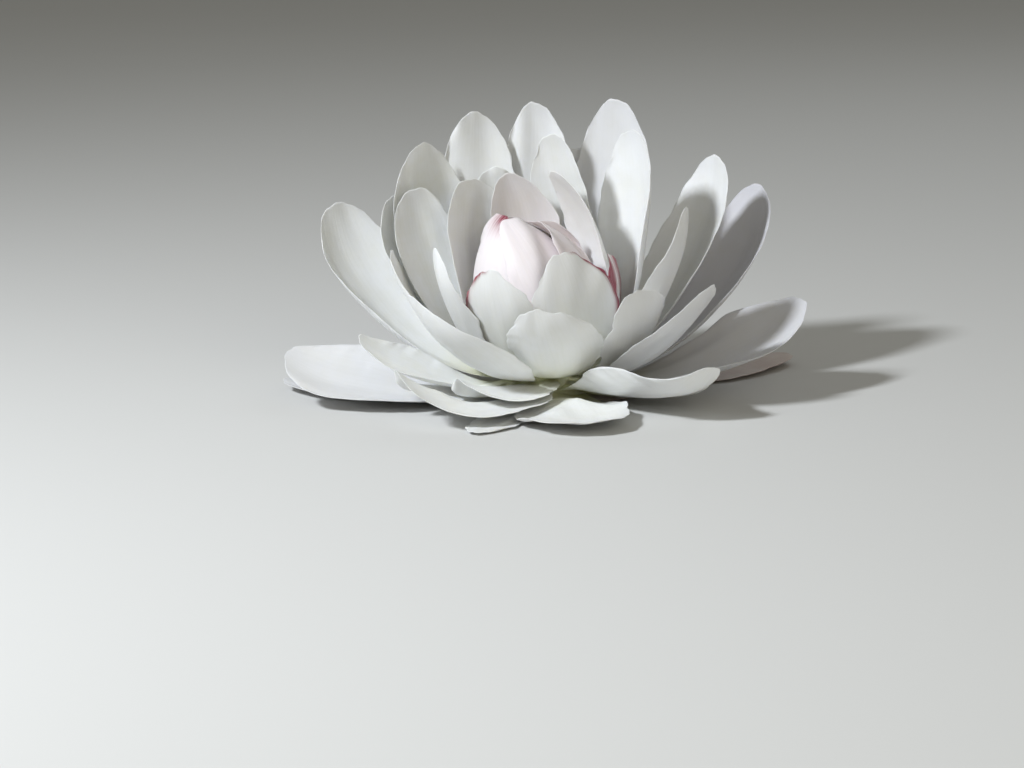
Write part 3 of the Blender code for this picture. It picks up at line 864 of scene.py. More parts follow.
@dataclass
class PetalSkin:
    """Fine closed shell of one petal.

    Attributes:
        petal: The petal's middle surface.
        seed: Seed of its unevenness and tone.
        rows: Points along.
        columns: Steps across.
        thick: Thickness in the middle.
        rim: Thickness at the margin.
        lip: How far the rim's middle stands out, as a share of half the rim's thickness.
        step: Step in u and v that the normals are worked out over.
        tone_seed: What is added to the seed for the draw of the tone.
    """

    petal: Petal
    seed: int
    rows: int = 56
    columns: int = 32
    thick: float = 0.84
    rim: float = 0.2
    lip: float = 0.8
    step: float = 0.012
    tone_seed: int = 900

    def grid(self) -> tuple:
        """Grid values, closer together at the tip and at the margins.

        Returns:
            u = 1 - (1 - t)**1.25 and v = sine of an even turn from -90 to 90 degrees,
            mixed half and half with an even step.
        """
        t = np.linspace(0, 1, self.rows)
        s = np.linspace(-1, 1, self.columns + 1)
        u = 1 - (1 - t) ** 1.25
        v = 0.5 * s + 0.5 * np.sin(0.5 * math.pi * s)
        return np.meshgrid(u, v, indexing="ij")

    def normals(self, u: Grid, v: Grid) -> Grid:
        """Unit normals of the middle surface, by cross product of central differences.

        Args:
            u: Share of the way to the tip.
            v: Share of the way to the side.

        Returns:
            Three values per point, towards the flower's middle.
        """
        form, step = self.petal.surface, self.step
        low_u, high_u = np.clip(u - step, 0, 1), np.clip(u + step, 0, 1)
        low_v, high_v = np.clip(v - step, -1, 1), np.clip(v + step, -1, 1)
        normal = np.cross(form(high_u, v) - form(low_u, v), form(u, high_v) - form(u, low_v))
        return normal / np.maximum(np.linalg.norm(normal, axis=-1, keepdims=True), TINY)

    def marks(self, u: Grid, v: Grid, outer: float) -> Grid:
        """Colour marks of one face: crimson, blush, green root and which side it is.

        Blush grows along the petal; green is the exponential of minus a power of u over
        the whorl's green reach.

        Args:
            u: Share of the way to the tip.
            v: Share of the way to the side.
            outer: 1 on the outer face and 0 on the inner.

        Returns:
            Four values per point.
        """
        spec = self.petal.spec
        crimson = MarkSizes().crimson(spec.stain, u, v, outer)
        blush = np.clip(spec.stain.blush * (0.6 + 0.4 * u), 0, 1)
        green = np.exp(-(u / spec.whorl.green) ** 1.6)
        return np.stack([crimson, blush, green, np.full_like(u, outer)], axis=-1)

    def build(self) -> Skin:
        """Works out the shell: two faces either side of the middle, and a round rim.

        The thickness falls from the middle to the rim's with the cube of v or the eighth
        power of u, whichever is more.  A ring of points stands out from the margin by a
        share of half the rim's thickness, and no point lies below the resting plane.

        Returns:
            The finished skin.
        """
        u, v = self.grid()
        spec = self.petal.spec
        ripple = Ripple(self.seed, spec.whorl.notch)
        normal = self.normals(u, v)
        middle = self.petal.surface(u, v, ripple.sway(u, v), ripple.notches(u, v))
        middle = middle + normal * (spec.whorl.waves * ripple.height(u, v))[..., None]
        edge = np.maximum(np.abs(v) ** 3, u ** 8)
        half = 0.5 * (self.thick + (self.rim - self.thick) * edge)[..., None]
        count = u.size
        index = np.arange(count).reshape(u.shape)
        ring = np.concatenate([index[:, 0], index[-1, 1:], index[-2::-1, -1], index[0, -2:0:-1]])
        inner_ring = np.concatenate([index[:, 1], index[-2, 1:], index[-2::-1, -2],
                                     index[1, -2:0:-1]])
        flat = middle.reshape(-1, 3)
        out = flat[ring] - flat[inner_ring]
        out /= np.maximum(np.linalg.norm(out, axis=-1, keepdims=True), TINY)
        lip = flat[ring] + out * (self.lip * half.reshape(-1, 1)[ring])
        points = np.concatenate([(middle + normal * half).reshape(-1, 3),
                                 (middle - normal * half).reshape(-1, 3), lip])
        points[:, 2] = np.maximum(points[:, 2], 0.0)
        a, b, c, d = index[:-1, :-1], index[1:, :-1], index[1:, 1:], index[:-1, 1:]
        top = np.stack([a, b, c, d], axis=-1).reshape(-1, 4)
        after = np.roll(ring, -1)
        lips = 2 * count + np.arange(len(ring))
        lips_after = np.roll(lips, -1)
        upper = np.stack([after, ring, lips, lips_after], axis=-1)
        lower = np.stack([lips_after, lips, ring + count, after + count], axis=-1)
        faces = np.concatenate([top, top[:, ::-1] + count, upper, lower])
        uv = np.stack([0.5 + 0.5 * v, u], axis=-1).reshape(-1, 2)
        inner, outer = self.marks(u, v, 0.0), self.marks(u, v, 1.0)
        stain = np.concatenate([inner.reshape(-1, 4), outer.reshape(-1, 4),
                                0.5 * (inner + outer).reshape(-1, 4)[ring]])
        own = np.random.default_rng(self.seed + self.tone_seed).uniform(0, 1)
        # A petal with painted shade stores 1 plus its strength as its tone, in place of its own
        # random tone.
        painted_shade = spec.stain.painted_shade
        tone = np.full(len(points), 1 + painted_shade if painted_shade > 0 else own)
        return Skin(points, faces, np.concatenate([uv, uv, uv[ring]]), stain, tone)


def lathe(radius: Grid, height: Grid, ribs: Grid, sides: int) -> Skin:
    """Closed solid of revolution about the upright axis, with a rib wave round it.

    Args:
        radius: Radius of each ring, from the foot to the top, without the poles.
        height: Height of each ring.
        ribs: Share of the radius that the wave adds and takes away, ring by turn.
        sides: Points round each ring.

    Returns:
        Skin whose two poles are single points at the first and last ring's height.
    """
    turn = np.arange(sides) * FULL_TURN / sides
    reach = radius[:, None] * (1 + ribs)
    rings = np.stack([reach * np.cos(turn), reach * np.sin(turn),
                      np.broadcast_to(height[:, None], reach.shape)], axis=-1)
    poles = np.array([[0.0, 0.0, height[0]], [0.0, 0.0, height[-1]]])
    points = np.concatenate([rings.reshape(-1, 3), poles])
    index = np.arange(len(radius) * sides).reshape(len(radius), sides)
    beside = np.roll(index, -1, axis=1)
    foot, top = len(points) - 2, len(points) - 1
    wall = np.stack([index[:-1], beside[:-1], beside[1:], index[1:]], axis=-1).reshape(-1, 4)
    under = np.stack([np.full(sides, foot), np.full(sides, foot), beside[0], index[0]], axis=-1)
    over = np.stack([np.full(sides, top), np.full(sides, top), index[-1], beside[-1]], axis=-1)
    faces = np.concatenate([triangles(wall), under[:, 1:], over[:, 1:]])
    return plain_skin(points, faces, height.min(), np.ptp(height))


def plain_skin(points: Grid, faces: Grid, foot: float, tall: float) -> Skin:
    """Skin without colour marks, its UV the share of a turn and the share of a height.

    Args:
        points: Place of each point.
        faces: Points of each face.
        foot: Height where the second UV share is 0.
        tall: Height over which that share grows by 1.

    Returns:
        The skin, with no stain and a tone of 0.
    """
    around = np.arctan2(points[:, 1], points[:, 0]) / FULL_TURN + 0.5
    share = (points[:, 2] - foot) / tall
    marks, tone = np.zeros((len(points), 4)), np.zeros(len(points))
    return Skin(points, faces, np.stack([around, share], axis=-1), marks, tone)


def triangles(quads: Grid) -> Grid:
    """Splits quads into triangles along their first diagonal."""
    return np.concatenate([quads[:, [0, 1, 2]], quads[:, [0, 2, 3]]])


# ---------------------------------------------------------------- finishes


class Nodes:
    """Short ways to add and join shader nodes in one material."""

    def __init__(self, name: str) -> None:
        """Starts a material with only its Principled shader and output.

        Args:
            name: Name of the material.
        """
        self.material = bpy.data.materials.new(name)
        self.material.use_nodes = True
        self.tree = self.material.node_tree
        self.shader = self.tree.nodes["Principled BSDF"]

    def add(self, kind: str, **settings: object) -> bpy.types.Node:
        """Adds a node and sets its properties.

        Args:
            kind: Blender's name for the node type.
            **settings: Property values.

        Returns:
            The node.
        """
        node = self.tree.nodes.new(kind)
        for key, value in settings.items():
            setattr(node, key, value)
        return node

    def put(self, socket: bpy.types.NodeSocket, value: object) -> None:
        """Links a socket to another's output, or sets its value.

        Args:
            socket: Input to fill.
            value: Output of another node, a number, or a colour of three parts.
        """
        if isinstance(value, bpy.types.NodeSocket):
            self.tree.links.new(value, socket)
        elif isinstance(value, tuple) and len(value) == 3 and socket.type == "RGBA":
            socket.default_value = (*value, 1.0)
        else:
            socket.default_value = value

    def math(self, operation: str, first: object, second: object = 0.0,
             clamp: bool = False) -> bpy.types.NodeSocket:
        """Result of one math operation on two values.

        Args:
            operation: Blender's name for the operation.
            first: First value or socket.
            second: Second value or socket.
            clamp: Whether the result is held between 0 and 1.

        Returns:
            Output socket.
        """
        node = self.add("ShaderNodeMath", operation=operation, use_clamp=clamp)
        self.put(node.inputs[0], first)
        self.put(node.inputs[1], second)
        return node.outputs[0]

    def remap(self, value: object, low: float, high: float, out_low: float = 0.0,
              out_high: float = 1.0) -> bpy.types.NodeSocket:
        """Straight-line map of one range to another, held at the ends.

        Args:
            value: Value or socket to map.
            low: Start of the range it comes from.
            high: End of that range.
            out_low: Start of the range it goes to.
            out_high: End of that range.

        Returns:
            Output socket.
        """
        node = self.add("ShaderNodeMapRange", clamp=True)
        for socket, given in zip(node.inputs[:5], (value, low, high, out_low, out_high)):
            self.put(socket, given)
        return node.outputs[0]

    def mix(self, share: object, first: object, second: object) -> bpy.types.NodeSocket:
        """Colour between two colours.

        Args:
            share: Share of the second colour.
            first: First colour or socket.
            second: Second colour or socket.

        Returns:
            Output socket.
        """
        node = self.add("ShaderNodeMix", data_type="RGBA")
        self.put(node.inputs[0], share)
        self.put(node.inputs[6], first)
        self.put(node.inputs[7], second)
        return node.outputs[2]

    def noise(self, vector: object, scale: float, detail: float = 3.0,
              roughness: float = 0.5) -> bpy.types.NodeSocket:
        """Fractal noise between about 0.25 and 0.75.

        Args:
            vector: Socket with the place to read it at.
            scale: Patches to a unit of that place.
            detail: Finer octaves on top.
            roughness: Strength of each octave against the one before.

        Returns:
            Output socket.
        """
        node = self.add("ShaderNodeTexNoise")
        self.put(node.inputs["Vector"], vector)
        node.inputs["Scale"].default_value = scale
        node.inputs["Detail"].default_value = detail
        node.inputs["Roughness"].default_value = roughness
        return node.outputs[0]

    def stretch(self, vector: object, scale: tuple) -> bpy.types.NodeSocket:
        """Vector scaled by axis, with a Mapping node.

        Args:
            vector: Socket to scale.
            scale: Factor of each axis.

        Returns:
            Output socket.
        """
        node = self.add("ShaderNodeMapping")
        self.put(node.inputs["Vector"], vector)
        node.inputs["Scale"].default_value = scale
        return node.outputs[0]

    def bump(self, height: object, strength: float, distance: float,
             normal: object = None) -> bpy.types.NodeSocket:
        """Normal tilted by a relief.

        Args:
            height: Socket with the height of the relief.
            strength: Strength of the tilt.
            distance: Metres that a height of 1 stands for.
            normal: Socket with a normal that is already tilted, if any.

        Returns:
            Output socket.
        """
        node = self.add("ShaderNodeBump")
        node.inputs["Strength"].default_value = strength
        node.inputs["Distance"].default_value = distance
        self.put(node.inputs["Height"], height)
        if normal is not None:
            self.put(node.inputs["Normal"], normal)
        return node.outputs[0]


@dataclass(frozen=True)
class PetalFinish:
    """Waxy petal skin: veins down its length, green root, crimson and blush where marked.

    Attributes:
        name: Name of the material.
        white: Palest colour of the inner face.
        shade: Colour that the mottling and the petal's own tone lead to.
        root: Colour of the root.
        crimson: Colour of the stained margins and tip.
        pink: Colour of the blush.
        painted_shade: Mauve-grey of the painted shade on petals that stand in shadow.
        outer: Colour of the outer face, and outer_share its strength there.
        vein: Colour of the veins.
        veins: Veins across the petal, and vein_bend how far noise bends them.
        vein_depth: Strength of the relief.
        relief: Metres that the relief stands for, and grain the same for the fine grain.
        mottling: Scale of the mottling, and graining the scale of the fine grain.
        gloss: Middle roughness.
        through: Share of the light that passes through the skin.
    """

    name: str
    white: tuple = (0.815, 0.828, 0.84)
    shade: tuple = (0.77, 0.775, 0.745)
    root: tuple = (0.76, 0.77, 0.46)
    crimson: tuple = (0.22, 0.009, 0.035)
    pink: tuple = (0.80, 0.58, 0.62)
    painted_shade: tuple = (0.46, 0.45, 0.51)
    outer: tuple = (0.81, 0.82, 0.825)
    outer_share: float = 0.5
    vein: tuple = (0.66, 0.69, 0.62)
    veins: float = 17.0
    vein_bend: float = 0.11
    vein_depth: float = 0.07
    relief: float = 0.0005
    grain: float = 0.0002
    mottling: float = 70.0
    graining: float = 1500.0
    gloss: float = 0.44
    through: float = 0.38

    def build(self) -> bpy.types.Material:
        """Makes the material.

        Veins are a sine of the across coordinate, bent by noise.  Mottling, outer face,
        veins, tone, painted shade, blush, green root and crimson are mixed over the white in
        that order.  The relief is the veins, lengthwise streaks and cells, with a fine grain.

        Returns:
            The material.
        """
        n = Nodes(self.name)
        uv = n.add("ShaderNodeUVMap", uv_map="petal_uv").outputs[0]
        spot = n.add("ShaderNodeTexCoord").outputs["Object"]
        split = n.add("ShaderNodeSeparateXYZ")
        n.put(split.inputs[0], uv)
        across = split.outputs[0]
        marks = n.add("ShaderNodeSeparateColor")
        paint = n.add("ShaderNodeAttribute", attribute_name="stain")
        n.put(marks.inputs[0], paint.outputs["Color"])
        crimson, blush, green = marks.outputs[0], marks.outputs[1], marks.outputs[2]
        side = paint.outputs["Alpha"]
        tone = n.add("ShaderNodeAttribute", attribute_name="tone").outputs["Fac"]
        wander = n.noise(n.stretch(uv, (3.0, 1.6, 1.0)), 2.2, 2.0)
        swing = n.math("MULTIPLY", n.math("SUBTRACT", wander, 0.5), self.vein_bend)
        bent = n.math("ADD", across, swing)
        wave = n.math("SINE", n.math("MULTIPLY", bent, self.veins * FULL_TURN))
        line = n.remap(wave, 0.2, 1.0)
        streak = n.noise(n.stretch(uv, (26.0, 1.8, 1.0)), 2.0, 4.0, 0.6)
        mottle = n.noise(spot, self.mottling, 4.0, 0.55)
        colour = n.mix(n.remap(mottle, 0.35, 0.68), self.white, self.shade)
        colour = n.mix(n.math("MULTIPLY", side, self.outer_share), colour, self.outer)
        veined = n.math("MULTIPLY", line, n.remap(streak, 0.35, 0.7, 0.02, 0.16))
        colour = n.mix(veined, colour, self.vein)
        colour = n.mix(n.remap(tone, 0.0, 1.0, 0.0, 0.35), colour, self.shade)
        # Painted shade: a tone from 1 to 2 mixes in the mauve-grey of petals standing in shadow.
        colour = n.mix(n.remap(tone, 1.0, 2.0), colour, self.painted_shade)
        rosy = n.math("MULTIPLY", blush, n.remap(streak, 0.3, 0.7, 0.55, 1.0), True)
        colour = n.mix(rosy, colour, self.pink)
        leafy = n.math("MULTIPLY", green, n.remap(mottle, 0.3, 0.7, 0.65, 1.0), True)
        colour = n.mix(leafy, colour, self.root)
        blood = n.math("MULTIPLY", crimson, n.remap(streak, 0.3, 0.62, 0.55, 1.5), True)
        colour = n.mix(blood, colour, self.crimson)
        n.put(n.shader.inputs["Base Color"], colour)
        rough = n.remap(mottle, 0.3, 0.7, self.gloss - 0.05, self.gloss + 0.08)
        n.put(n.shader.inputs["Roughness"], rough)
        cells = n.noise(n.stretch(uv, (60.0, 22.0, 1.0)), 3.0, 2.0)
        fine = n.noise(spot, self.graining, 2.0)
        height = n.math("ADD", n.math("MULTIPLY", wave, 0.22), n.math("MULTIPLY", streak, 1.3))
        height = n.math("ADD", height, n.math("MULTIPLY", cells, 0.35))
        normal = n.bump(height, self.vein_depth, self.relief)
        n.put(n.shader.inputs["Normal"], n.bump(fine, 0.06, self.grain, normal))
        n.shader.inputs["Subsurface Weight"].default_value = self.through
        n.shader.inputs["Subsurface Radius"].default_value = (1.0, 0.95, 0.8)
        n.shader.inputs["Subsurface Scale"].default_value = 0.0022
        n.shader.inputs["IOR"].default_value = 1.38
        n.shader.inputs["Sheen Weight"].default_value = 0.08
        n.shader.inputs["Sheen Roughness"].default_value = 0.4
        return n.material


@dataclass(frozen=True)
class FleshFinish:
    """Soft plant flesh with fine ridges: receptacle, stigma and stamens.

    Attributes:
        name: Name of the material.
        light: Paler of the two tones.
        dark: Darker tone.
        ridges: How much finer the ridges are round the piece than up it.
        gloss: Middle roughness.
    """

    name: str
    light: tuple
    dark: tuple
    ridges: float = 40.0
    gloss: float = 0.5

    def build(self) -> bpy.types.Material:
        """Makes the material: noise mixes two tones, ridges and grain raise the bump.

        Returns:
            The material.
        """
        n = Nodes(self.name)
        uv = n.add("ShaderNodeUVMap", uv_map="petal_uv").outputs[0]
        spot = n.add("ShaderNodeTexCoord").outputs["Object"]
        mottle = n.noise(spot, 260.0, 4.0, 0.6)
        ridge = n.noise(n.stretch(uv, (self.ridges, 3.0, 1.0)), 2.0, 3.0)
        colour = n.mix(n.remap(mottle, 0.35, 0.65), self.dark, self.light)
        n.put(n.shader.inputs["Base Color"], colour)
        rough = n.remap(ridge, 0.3, 0.7, self.gloss - 0.06, self.gloss + 0.12)
        n.put(n.shader.inputs["Roughness"], rough)
        height = n.math("ADD", ridge, n.math("MULTIPLY", mottle, 0.5))
        n.put(n.shader.inputs["Normal"], n.bump(height, 0.45, 0.0006))
        n.shader.inputs["Subsurface Weight"].default_value = 0.2
        n.shader.inputs["Subsurface Radius"].default_value = (1.0, 0.8, 0.5)
        n.shader.inputs["Subsurface Scale"].default_value = 0.002
        return n.material


@dataclass(frozen=True)
class FloorFinish:
    """Plain pale matt floor with the faintest unevenness.

    Attributes:
        pale: Colour of the floor.
        dulled: What that colour is multiplied by in the darkest patches.
        name: Name of the material.
    """

    pale: tuple = (0.62, 0.62, 0.61)
    dulled: float = 0.97
    name: str = "pale_floor"

    def build(self) -> bpy.types.Material:
        """Makes the material: broad noise mixes the pale colour with a dulled one.

        Returns:
            The material.
        """
        n = Nodes(self.name)
        spot = n.add("ShaderNodeTexCoord").outputs["Object"]
        cloud = n.noise(spot, 2.0, 2.0)
        darker = tuple(self.dulled * value for value in self.pale)
        n.put(n.shader.inputs["Base Color"], n.mix(cloud, self.pale, darker))
        n.put(n.shader.inputs["Roughness"], n.remap(cloud, 0.3, 0.7, 0.7, 0.8))
        return n.material


# ---------------------------------------------------------------- the flower's parts


@dataclass
class Corolla:
    """All petals and sepals, laid from the middle outwards.

    Attributes:
        family: The ribs that they follow.
        specs: What is asked of each, from the innermost to the outermost.
        petals: The petals, in the same order.
    """

    family: RibFamily
    specs: tuple
    petals: list = field(init=False)

    def __post_init__(self) -> None:
        """Lays the petals: room is kept from outside in, then each is settled."""
        self.petals = [Petal(spec, self.family) for spec in self.specs]
        record = LayerRecord(self.family)
        for petal in reversed(self.petals):
            petal.reserve(record)
        for petal in self.petals:
            petal.settle(record)

    def finishes(self) -> dict:
        """Material of each whorl.

        Returns:
            A finished material for each kind; globe and petal share one.
        """
        petal = PetalFinish("petal_wax").build()
        cone = PetalFinish("cone_wax", white=(0.85, 0.81, 0.82), shade=(0.81, 0.76, 0.77),
                           outer=(0.85, 0.81, 0.82)).build()
        sepal = PetalFinish("sepal_skin", white=(0.62, 0.55, 0.52), shade=(0.55, 0.46, 0.44),
                            outer=(0.30, 0.17, 0.16), outer_share=0.85, pink=(0.42, 0.22, 0.22),
                            vein_depth=0.35, gloss=0.5).build()
        return {Kind.CONE: cone, Kind.GLOBE: petal, Kind.PETAL: petal, Kind.SEPAL: sepal}

    def build(self) -> None:
        """Makes, dresses and places every petal."""
        finishes = self.finishes()
        for seed, petal in enumerate(self.petals):
            spec = petal.spec
            item = PetalSkin(petal, seed).build().make(PIECE_PREFIX + spec.name)
            item.data.materials.append(finishes[spec.kind])
            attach(item, BODY)
            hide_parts(spec.name)
            LOG.info("%s: %d faces", item.name, len(item.data.polygons))


@dataclass
class Stamens:
    """Whorls of flat stamens that rise and arch over the stigma cup, in millimetres.

    Attributes:
        count: Number of stamens.
        steps: Rings of points along a stamen.
        section: Points round a stamen.
        divergence: Turn from each stamen to the next, in degrees.
        start: Radius where the stamens of each whorl are rooted.
        reach: How far outwards those of each whorl arch, and reach_spread what is drawn
            at random and added to it.
        rise: How high those of each whorl rise, and rise_spread the same for that.
        seed: Seed of the random draws.
        foot: Height of the innermost roots, foot_radius their radius, and foot_slope
            the rise of the roots with the radius.
        half_width: Half the width of a blade at its root.
        taper: Share of the width that is gone at the tip, and taper_power its power.
        flatness: Depth of a blade as a share of its width.
        low: Height where the pattern along a stamen begins, and tall its length.
    """

    count: int = 96
    steps: int = 9
    section: int = 6
    divergence: float = 137.508
    start: tuple = (6.6, 8.6, 10.6)
    reach: tuple = (7.2, 8.4, 8.6)
    reach_spread: tuple = (-0.5, 0.5)
    rise: tuple = (10.5, 10.2, 9.2)
    rise_spread: tuple = (-0.8, 0.6)
    seed: int = 41
    foot: float = 30.2
    foot_radius: float = 6.0
    foot_slope: float = 0.16
    half_width: float = 0.55
    taper: float = 0.75
    taper_power: float = 2.2
    flatness: float = 0.45
    low: float = 29.4
    tall: float = 15.6

    def paths(self) -> tuple:
        """Radius and height along the middle of every stamen.

        Each stamen follows about a quarter of an ellipse: the radius grows with a power
        of the sine of an even turn to 90 degrees, and the height with a power of one less
        its cosine.

        Returns:
            Two tables of shape (count, steps).
        """
        rng = np.random.default_rng(self.seed)
        whorl = np.arange(self.count) % len(self.start)
        start = np.array(self.start)[whorl][:, None]
        reach = np.array(self.reach)[whorl] + rng.uniform(*self.reach_spread, self.count)
        rise = np.array(self.rise)[whorl] + rng.uniform(*self.rise_spread, self.count)
        arc = 0.5 * math.pi * np.linspace(0, 1, self.steps)
        radius = start + reach[:, None] * np.sin(arc)[None] ** 1.3
        foot = self.foot + self.foot_slope * (start - self.foot_radius)
        return radius, foot + rise[:, None] * (1 - np.cos(arc))[None] ** 0.8

    def blades(self) -> Grid:
        """Points of every stamen's skin: an ellipse set square to the path, ring by ring.

        Returns:
            Table of shape (count, steps * section, 3).
        """
        radius, height = self.paths()
        azimuth = np.arange(self.count) * math.radians(self.divergence) % FULL_TURN
        t = np.linspace(0, 1, self.steps)
        wide = (self.half_width * (1 - self.taper * t ** self.taper_power))[None, :, None]
        ring = np.arange(self.section) * FULL_TURN / self.section
        across, deep = np.cos(ring) * wide, np.sin(ring) * self.flatness * wide
        slope = np.arctan2(np.gradient(height, axis=1), np.gradient(radius, axis=1))[..., None]
        r = radius[..., None] - deep * np.sin(slope)
        z = height[..., None] + deep * np.cos(slope)
        turn = azimuth[:, None, None] + across / np.maximum(r, 1.0)
        body = np.stack([r * np.cos(turn), r * np.sin(turn), z], axis=-1)
        return body.reshape(self.count, -1, 3)

    def build(self) -> Skin:
        """Closes each blade with a point at either end and joins them all.

        Returns:
            One skin of separate closed blades.
        """
        body = self.blades()
        ends = [body[:, :self.section].mean(axis=1), body[:, -self.section:].mean(axis=1)]
        points = np.concatenate([body, np.stack(ends, axis=1)], axis=1)
        index = np.arange(self.steps * self.section).reshape(self.steps, self.section)
        beside = np.roll(index, -1, axis=1)
        wall = np.stack([index[:-1], beside[:-1], beside[1:], index[1:]], axis=-1)
        foot, top = index.size, index.size + 1
        caps = [[foot, b, a] for a, b in zip(index[0], beside[0])]
        caps += [[top, a, b] for a, b in zip(index[-1], beside[-1])]
        one = np.concatenate([triangles(wall.reshape(-1, 4)), np.array(caps)])
        faces = one[None] + np.arange(self.count)[:, None, None] * points.shape[1]
        return plain_skin(points.reshape(-1, 3), faces.reshape(-1, 3), self.low, self.tall)


@dataclass
class Heart:
    """Receptacle, stigma cup and stamens under the petals, in millimetres.

    Attributes:
        foot: Height where the receptacle's straight flank begins.
        top: Height of its flat top.
        bevel: Radius that is lost at the rounded foot and shoulder.
        edge: Height of the last step of either rounding.
        root_gap: Distance of the flank inside the line of the petal roots.
        rings: Rings up the flank.
        sides: Points round the receptacle.
        scars: Ridges round it, and scar_depth their depth as a share of the radius.
        scar_lean: Radians that the ridges turn for each millimetre of height.
        cup: Radius and height of the stigma cup's rings, up its wall and down inside.
        cup_sides: Points round the cup.
        rays: Rays round the cup, and ray_depth their depth as a share of the radius.
        ray_foot: Height that the rays fade in from.
    """

    foot: float = 1.5
    top: float = 29.0
    bevel: float = 1.2
    edge: float = 0.35
    root_gap: float = 0.9
    rings: int = 40
    sides: int = 160
    scars: int = 28
    scar_depth: float = 0.006
    scar_lean: float = 0.9
    cup: tuple = ((2.0, 29.35), (4.0, 29.35), (4.4, 30.0), (4.45, 31.8), (4.4, 33.4),
                  (4.1, 34.0), (3.5, 34.15), (2.6, 33.5), (1.6, 32.6), (0.8, 32.1))
    cup_sides: int = 96
    rays: int = 16
    ray_depth: float = 0.035
    ray_foot: float = 30.0

    def flank(self, height: Grid) -> Grid:
        """Receptacle radius at a height: the line of the petal roots less their gap."""
        share = (ROOT_TOP[1] - height) / (ROOT_TOP[1] - ROOT_FOOT[1])
        return ROOT_TOP[0] + (ROOT_FOOT[0] - ROOT_TOP[0]) * share - self.root_gap

    def receptacle(self) -> Skin:
        """Cone with a rounded foot and shoulder and faint scars where petals are rooted.

        Its radius is the flank's, less the bevel at both ends, times one plus a cosine
        round it that leans with the height.

        Returns:
            The closed skin.
        """
        low, high = self.foot, self.top - self.bevel
        heights = np.concatenate([[0.0, 0.0, self.edge], np.linspace(low, high, self.rings),
                                  [self.top - self.edge, self.top]])
        radius = self.flank(np.clip(heights, low, high))
        radius[:3] = [0.5 * radius[0], radius[0] - self.bevel, radius[0] - 0.5 * self.bevel]
        radius[-2:] -= [0.35 * self.bevel, self.bevel]
        turn = np.arange(self.sides) * FULL_TURN / self.sides
        wave = np.cos(self.scars * turn[None] + self.scar_lean * heights[:, None])
        scars = self.scar_depth * wave - self.scar_depth
        return lathe(radius, heights, scars, self.sides)

    def stigma(self) -> Skin:
        """Shallow cup, its wall waved by rays, set in the top of the receptacle.

        Returns:
            The closed skin.
        """
        radius, height = np.array(self.cup).T
        turn = np.arange(self.cup_sides) * FULL_TURN / self.cup_sides
        strength = np.clip(height[:, None] - self.ray_foot, 0, 1)
        rays = self.ray_depth * np.cos(self.rays * turn)[None] * strength
        return lathe(radius, height, rays, self.cup_sides)

    def build(self) -> None:
        """Makes, dresses and places the three pieces."""
        flesh = FleshFinish("receptacle_flesh", (0.80, 0.81, 0.60), (0.72, 0.74, 0.46))
        cream = FleshFinish("stigma_cream", (0.80, 0.76, 0.52), (0.70, 0.62, 0.36), 60.0, 0.55)
        pollen = FleshFinish("stamen_cream", (0.84, 0.72, 0.45), (0.76, 0.50, 0.40), 20.0, 0.6)
        for node, slot, skin, finish in (
                ("receptacle", "receptacle", self.receptacle(), flesh),
                ("stigma_cup", "stigma", self.stigma(), cream),
                ("stamen_ring", "stamen", Stamens().build(), pollen)):
            item = skin.make(PIECE_PREFIX + node)
            item.data.materials.append(finish.build())
            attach(item, BODY)
            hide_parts(node)
            LOG.info("%s: %d faces", item.name, len(item.data.polygons))


# ---------------------------------------------------------------- studio


@dataclass
class Lamp:
    """One soft area lamp aimed at the flower.

    Attributes:
        name: Name of the lamp.
        azimuth: Degrees round from the front, towards the right.
        elevation: Degrees above the floor.
        distance: Metres from the target.
        size: Width of the round lamp in metres.
        power: Watts.
        colour: Colour of the light.
    """

    name: str
    azimuth: float
    elevation: float
    distance: float
    size: float
    power: float
    colour: tuple = (1.0, 1.0, 1.0)

    def build(self, target: tuple) -> None:
        """Places the lamp on a sphere about the target, facing it.

        Args:
            target: Point in metres that the lamp looks at.
        """
        light = bpy.data.lights.new(self.name, "AREA")
        light.shape = "DISK"
        light.size = self.size
        light.energy = self.power
        light.color = self.colour
        item = bpy.data.objects.new(self.name, light)
        a, e = math.radians(self.azimuth), math.radians(self.elevation)
        away = np.array([math.sin(a) * math.cos(e), -math.cos(a) * math.cos(e), math.sin(e)])
        item.location = np.array(target) + self.distance * away
        item.rotation_euler = (math.pi / 2 - e, 0.0, a)
        bpy.context.scene.collection.objects.link(item)


